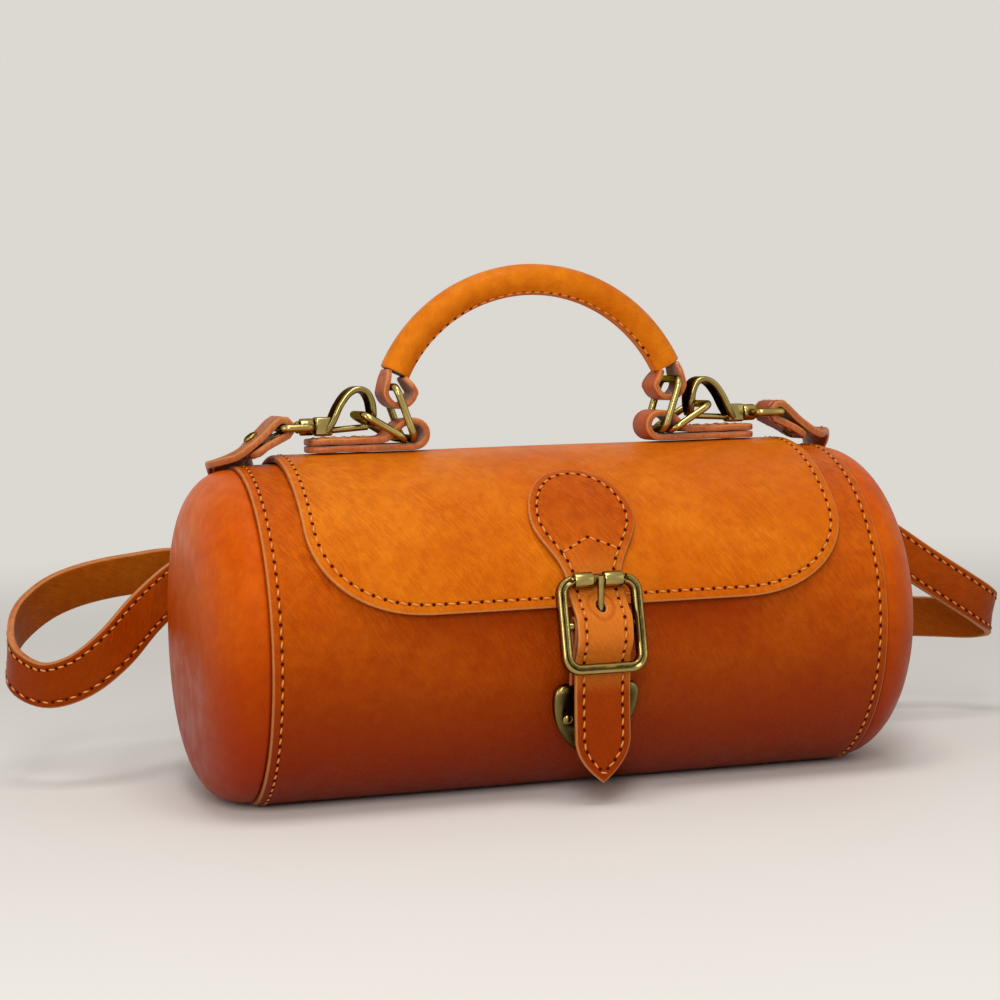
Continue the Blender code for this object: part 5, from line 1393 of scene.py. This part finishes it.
strapRight = [
    ((1.13, 1.36, -1.47), (0.0, 0.0, -1.0)), ((1.48, 1.25, -1.49), (0.0, 0.0, -1.0)),
    ((1.72, 1.13, -1.50), (0.0, 0.0, -1.0)), ((1.89, 0.97, -1.50), (0.0, 0.0, -1.0)),
    ((1.95, 0.81, -1.46), (-0.2, 0.0, -1.0)), ((1.83, 0.69, -1.38), (-0.4, 0.0, -0.9)),
    ((1.62, 0.66, -1.25), (-0.52, 0.0, -0.85)), ((1.37, 0.67, -1.09), (-0.55, 0.0, -0.83)),
    ((1.13, 0.70, -0.92), (-0.55, 0.0, -0.83)), ((0.96, 0.77, -0.80), (-0.53, -0.1, -0.83)),
    ((0.80, 0.83, -0.67), (-0.5, -0.35, -0.75)), ((0.67, 0.83, -0.52), (-0.5, -0.6, -0.55)),
    ((0.56, 0.70, -0.36), (-0.5, -0.82, -0.15)), ((0.45, 0.47, -0.23), (-0.35, -0.92, 0.1)),
    ((0.34, 0.21, -0.14), (-0.15, -1.0, 0.05)),
]


def strapFold(side):
    fall = math.radians(shoulder["fall"])
    along = Vector((math.cos(fall), -math.sin(fall)))
    out = Vector((math.sin(fall), math.cos(fall)))
    bar = Vector((hook["eyeX"], hook["axisZ"]))
    bend = ring["wire"] + play + shoulder["thickness"] / 2
    closed = shoulder["thickness"] / 2 + 0.15 * mm
    heading = math.degrees(math.atan2(out.y, out.x))
    pinched = closed + shoulder["slack"]
    lower = [bar + along * shoulder["lap"] - out * closed, bar + along * shoulder["pinch"] - out * pinched]
    upper = [bar + along * shoulder["pinch"] + out * pinched, bar + along * shoulder["lap"] + out * closed]
    fold = arcLine(tuple(bar), bend, heading + 180, heading, 12)
    return [Vector((side * p.x, 0.0, p.y)) for p in lower + fold + upper]


def makeShoulderStrap():
    print("shoulder strap")
    radius = barrel["radius"]
    bar = Vector((hook["eyeX"], 0.0, hook["axisZ"]))
    mirrored = Vector((-bar.x, 0.0, bar.z))
    middle = [(mirrored + Vector(p) * radius, across) for p, across in strapLeft]
    middle += [(Vector(p) * radius, across) for p, across in strapBehind]
    middle += [(bar + Vector(p) * radius, across) for p, across in strapRight]
    start, end = strapFold(-1), strapFold(1)[::-1]
    leftWay, rightWay = Vector((0.0, 1.0, 0.0)), Vector((0.0, -1.0, 0.0))
    spans = [start[-1]] + [row[0] for row in middle] + [end[0]]
    ways = [leftWay] + [Vector(row[1]) for row in middle] + [rightWay]
    line = start[:-1] + smoothLine(spans, 8) + end[1:]
    across = [leftWay] * (len(start) - 1) + smoothLine(ways, 8) + [rightWay] * (len(end) - 1)
    route = Route(line)

    def place(u, v):
        index = int(np.searchsorted(route.stations, v, side="right")) - 1
        index = min(max(index, 0), len(line) - 2)
        share = (v - route.stations[index]) / (route.stations[index + 1] - route.stations[index])
        tangent = (route.at(v + 5 * mm) - route.at(v - 5 * mm)).normalized()
        way = across[index].lerp(across[index + 1], min(max(share, 0.0), 1.0))
        way = (way - tangent * way.dot(tangent)).normalized()
        return route.at(v) + way * u

    rows, half = roundedEnds(shoulder["half"], shoulder["corner"], route.length, shoulder["step"])
    columns = columnsFor(shoulder["half"], 1.6 * mm)
    sheet = BentSheet("long_strap", columns, rows, half, place, shoulder["thickness"], grain=-1)
    made = sheet.finish((leathers["strap"], rawEdge, leathers["strapBack"]), even=False)
    dress(made, "bag", "leather", "shoulder_strap")
    edge = shoulder["half"] - shoulder["stitchInset"]
    lines = [[(s * edge, v) for v in evenly(5 * mm, route.length - 5 * mm, 3 * mm)] for s in (-1, 1)]
    sewn("long_strap_stitches", "bag", sheet, lines)
    print("strap length in mm:", round(route.length / mm, 1))


def makeStud(name, side):
    fall = math.radians(shoulder["fall"])
    distance = shoulder["lap"] - shoulder["studFromEnd"]
    spot = Vector((side * (hook["eyeX"] + distance * math.cos(fall)), 0.0, hook["axisZ"] - distance * math.sin(fall)))
    out = Vector((side * math.sin(fall), 0.0, math.cos(fall)))
    face = shoulder["thickness"] + 0.15 * mm + shoulder["slack"] + 0.2 * mm
    profile = domeProfile(shoulder["stud"], face, 1.0 * mm, 1.1 * mm, face)
    profile = profile[:-1] + [(shoulder["studBack"], -face), (shoulder["studBack"], -face - 0.4 * mm),
                              (shoulder["studBack"] - 0.3 * mm, -face - 0.6 * mm), (0.0, -face - 0.6 * mm)]
    stud = turnedPiece("strap_stud_" + name, profile, aimed(spot, out), brass)
    dress(stud, "bag", "antique_brass", "strap_rivet_" + name)


makeShoulderStrap()
makeStud("left", -1)
makeStud("right", 1)


# Camera

view = {"place": (-0.2451, -0.7547, 0.1437), "yaw": 17.1, "pitch": 3.4, "roll": 1.52, "lens": 82.2}


def makeCamera():
    yaw, pitch, roll = (math.radians(view[key]) for key in ("yaw", "pitch", "roll"))
    ahead = Vector((math.sin(yaw) * math.cos(pitch), math.cos(yaw) * math.cos(pitch), -math.sin(pitch)))
    right = Vector((math.cos(yaw), -math.sin(yaw), 0.0))
    up = right.cross(ahead)
    across = right * math.cos(roll) - up * math.sin(roll)
    upright = right * math.sin(roll) + up * math.cos(roll)
    deselectAll()
    bpy.ops.object.camera_add(location=view["place"])
    camera = bpy.context.object
    turned = Matrix((across, upright, -ahead)).transposed().to_4x4()
    camera.matrix_world = Matrix.Translation(Vector(view["place"])) @ turned
    camera.data.lens = view["lens"]
    camera.data.sensor_width = 36.0
    camera.data.clip_start = 0.01
    bpy.context.scene.camera = camera


# Floor, world and lamps

floorSize = 30.0
backdrop = {"tone": "dcd8d2", "near": 0.3, "far": 1.1, "light": "f2f0ec", "strength": 0.36}
lamps = [
    {"name": "key", "place": (-0.38, -1.08, 0.72), "aim": (-0.02, 0.0, 0.06), "size": (0.28, 0.8), "power": 7.6},
    {"name": "fill", "place": (0.95, -0.8, 0.5), "aim": (0.0, 0.0, 0.06), "size": (0.8, 0.8), "power": 1.3},
    {"name": "side", "place": (-1.15, -0.42, 0.34), "aim": (-0.1, 0.0, 0.06), "size": (0.22, 0.7), "power": 2.4},
    {"name": "top", "place": (-0.08, -0.3, 1.15), "aim": (0.0, 0.0, 0.08), "size": (0.5, 0.5), "power": 5.6},
]


def seenRay(nodes, links):
    # 1 for the rays that show the backdrop: straight from the camera, in metal and through glass
    rays = nodes.new("ShaderNodeLightPath")
    total = rays.outputs["Is Camera Ray"]
    for name in ("Is Glossy Ray", "Is Transmission Ray"):
        joined = nodes.new("ShaderNodeMath")
        joined.operation = "MAXIMUM"
        links.new(total, joined.inputs[0])
        links.new(rays.outputs[name], joined.inputs[1])
        total = joined.outputs[0]
    return total


def makeFloor():
    deselectAll()
    bpy.ops.mesh.primitive_plane_add(size=floorSize)
    floor = bpy.context.object
    floor.name = "floor"
    board = NodeBoard("floor")
    paper = board.mix(board.noise(3.0, 3.0), hexColour("dedad4"), hexColour("e6e2dc"))
    board.feed(board.shader.inputs["Base Color"], paper)
    board.shader.inputs["Roughness"].default_value = 0.7
    # Far from the bag the paper turns into the backdrop, with no line between them
    distance = board.add("ShaderNodeVectorMath", operation="LENGTH")
    board.feed(distance.inputs[0], board.place)
    away = board.spread(distance.outputs["Value"], backdrop["near"], backdrop["far"])
    share = board.math("MULTIPLY", away, seenRay(board.tree.nodes, board.tree.links))
    glow = board.add("ShaderNodeEmission")
    glow.inputs["Color"].default_value = hexColour(backdrop["tone"])
    blend = board.add("ShaderNodeMixShader")
    board.feed(blend.inputs["Fac"], share)
    board.tree.links.new(board.shader.outputs["BSDF"], blend.inputs[1])
    board.tree.links.new(glow.outputs["Emission"], blend.inputs[2])
    board.tree.links.new(blend.outputs["Shader"], board.tree.nodes["Material Output"].inputs["Surface"])
    floor.data.materials.append(board.material)


def makeWorld():
    world = bpy.context.scene.world or bpy.data.worlds.new("studio")
    bpy.context.scene.world = world
    world.use_nodes = True
    nodes, links = world.node_tree.nodes, world.node_tree.links
    light = nodes["Background"]
    light.inputs["Color"].default_value = hexColour(backdrop["light"])
    light.inputs["Strength"].default_value = backdrop["strength"]
    wall = nodes.new("ShaderNodeBackground")
    wall.inputs["Color"].default_value = hexColour(backdrop["tone"])
    blend = nodes.new("ShaderNodeMixShader")
    links.new(seenRay(nodes, links), blend.inputs["Fac"])
    links.new(light.outputs["Background"], blend.inputs[1])
    links.new(wall.outputs["Background"], blend.inputs[2])
    links.new(blend.outputs["Shader"], nodes["World Output"].inputs["Surface"])


def makeLamps():
    for lamp in lamps:
        deselectAll()
        bpy.ops.object.light_add(type="AREA", location=lamp["place"])
        made = bpy.context.object
        made.name = lamp["name"]
        made.data.energy = lamp["power"]
        made.data.shape = "RECTANGLE"
        made.data.size, made.data.size_y = lamp["size"]
        aim = Vector(lamp["aim"]) - Vector(lamp["place"])
        turn = aim.to_track_quat("-Z", "Y").to_matrix().to_4x4()
        made.matrix_world = Matrix.Translation(Vector(lamp["place"])) @ turn


print("camera and studio")
makeCamera()
makeFloor()
makeWorld()
makeLamps()
bpy.context.scene.view_settings.view_transform = "Standard"

for helper in (stitchModel, holeModel):
    bpy.data.objects.remove(helper, do_unlink=True)

# The handle's core is the one CAD node that stays
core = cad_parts["handle_core"]
core.data.materials.clear()
core.data.materials.append(cord)
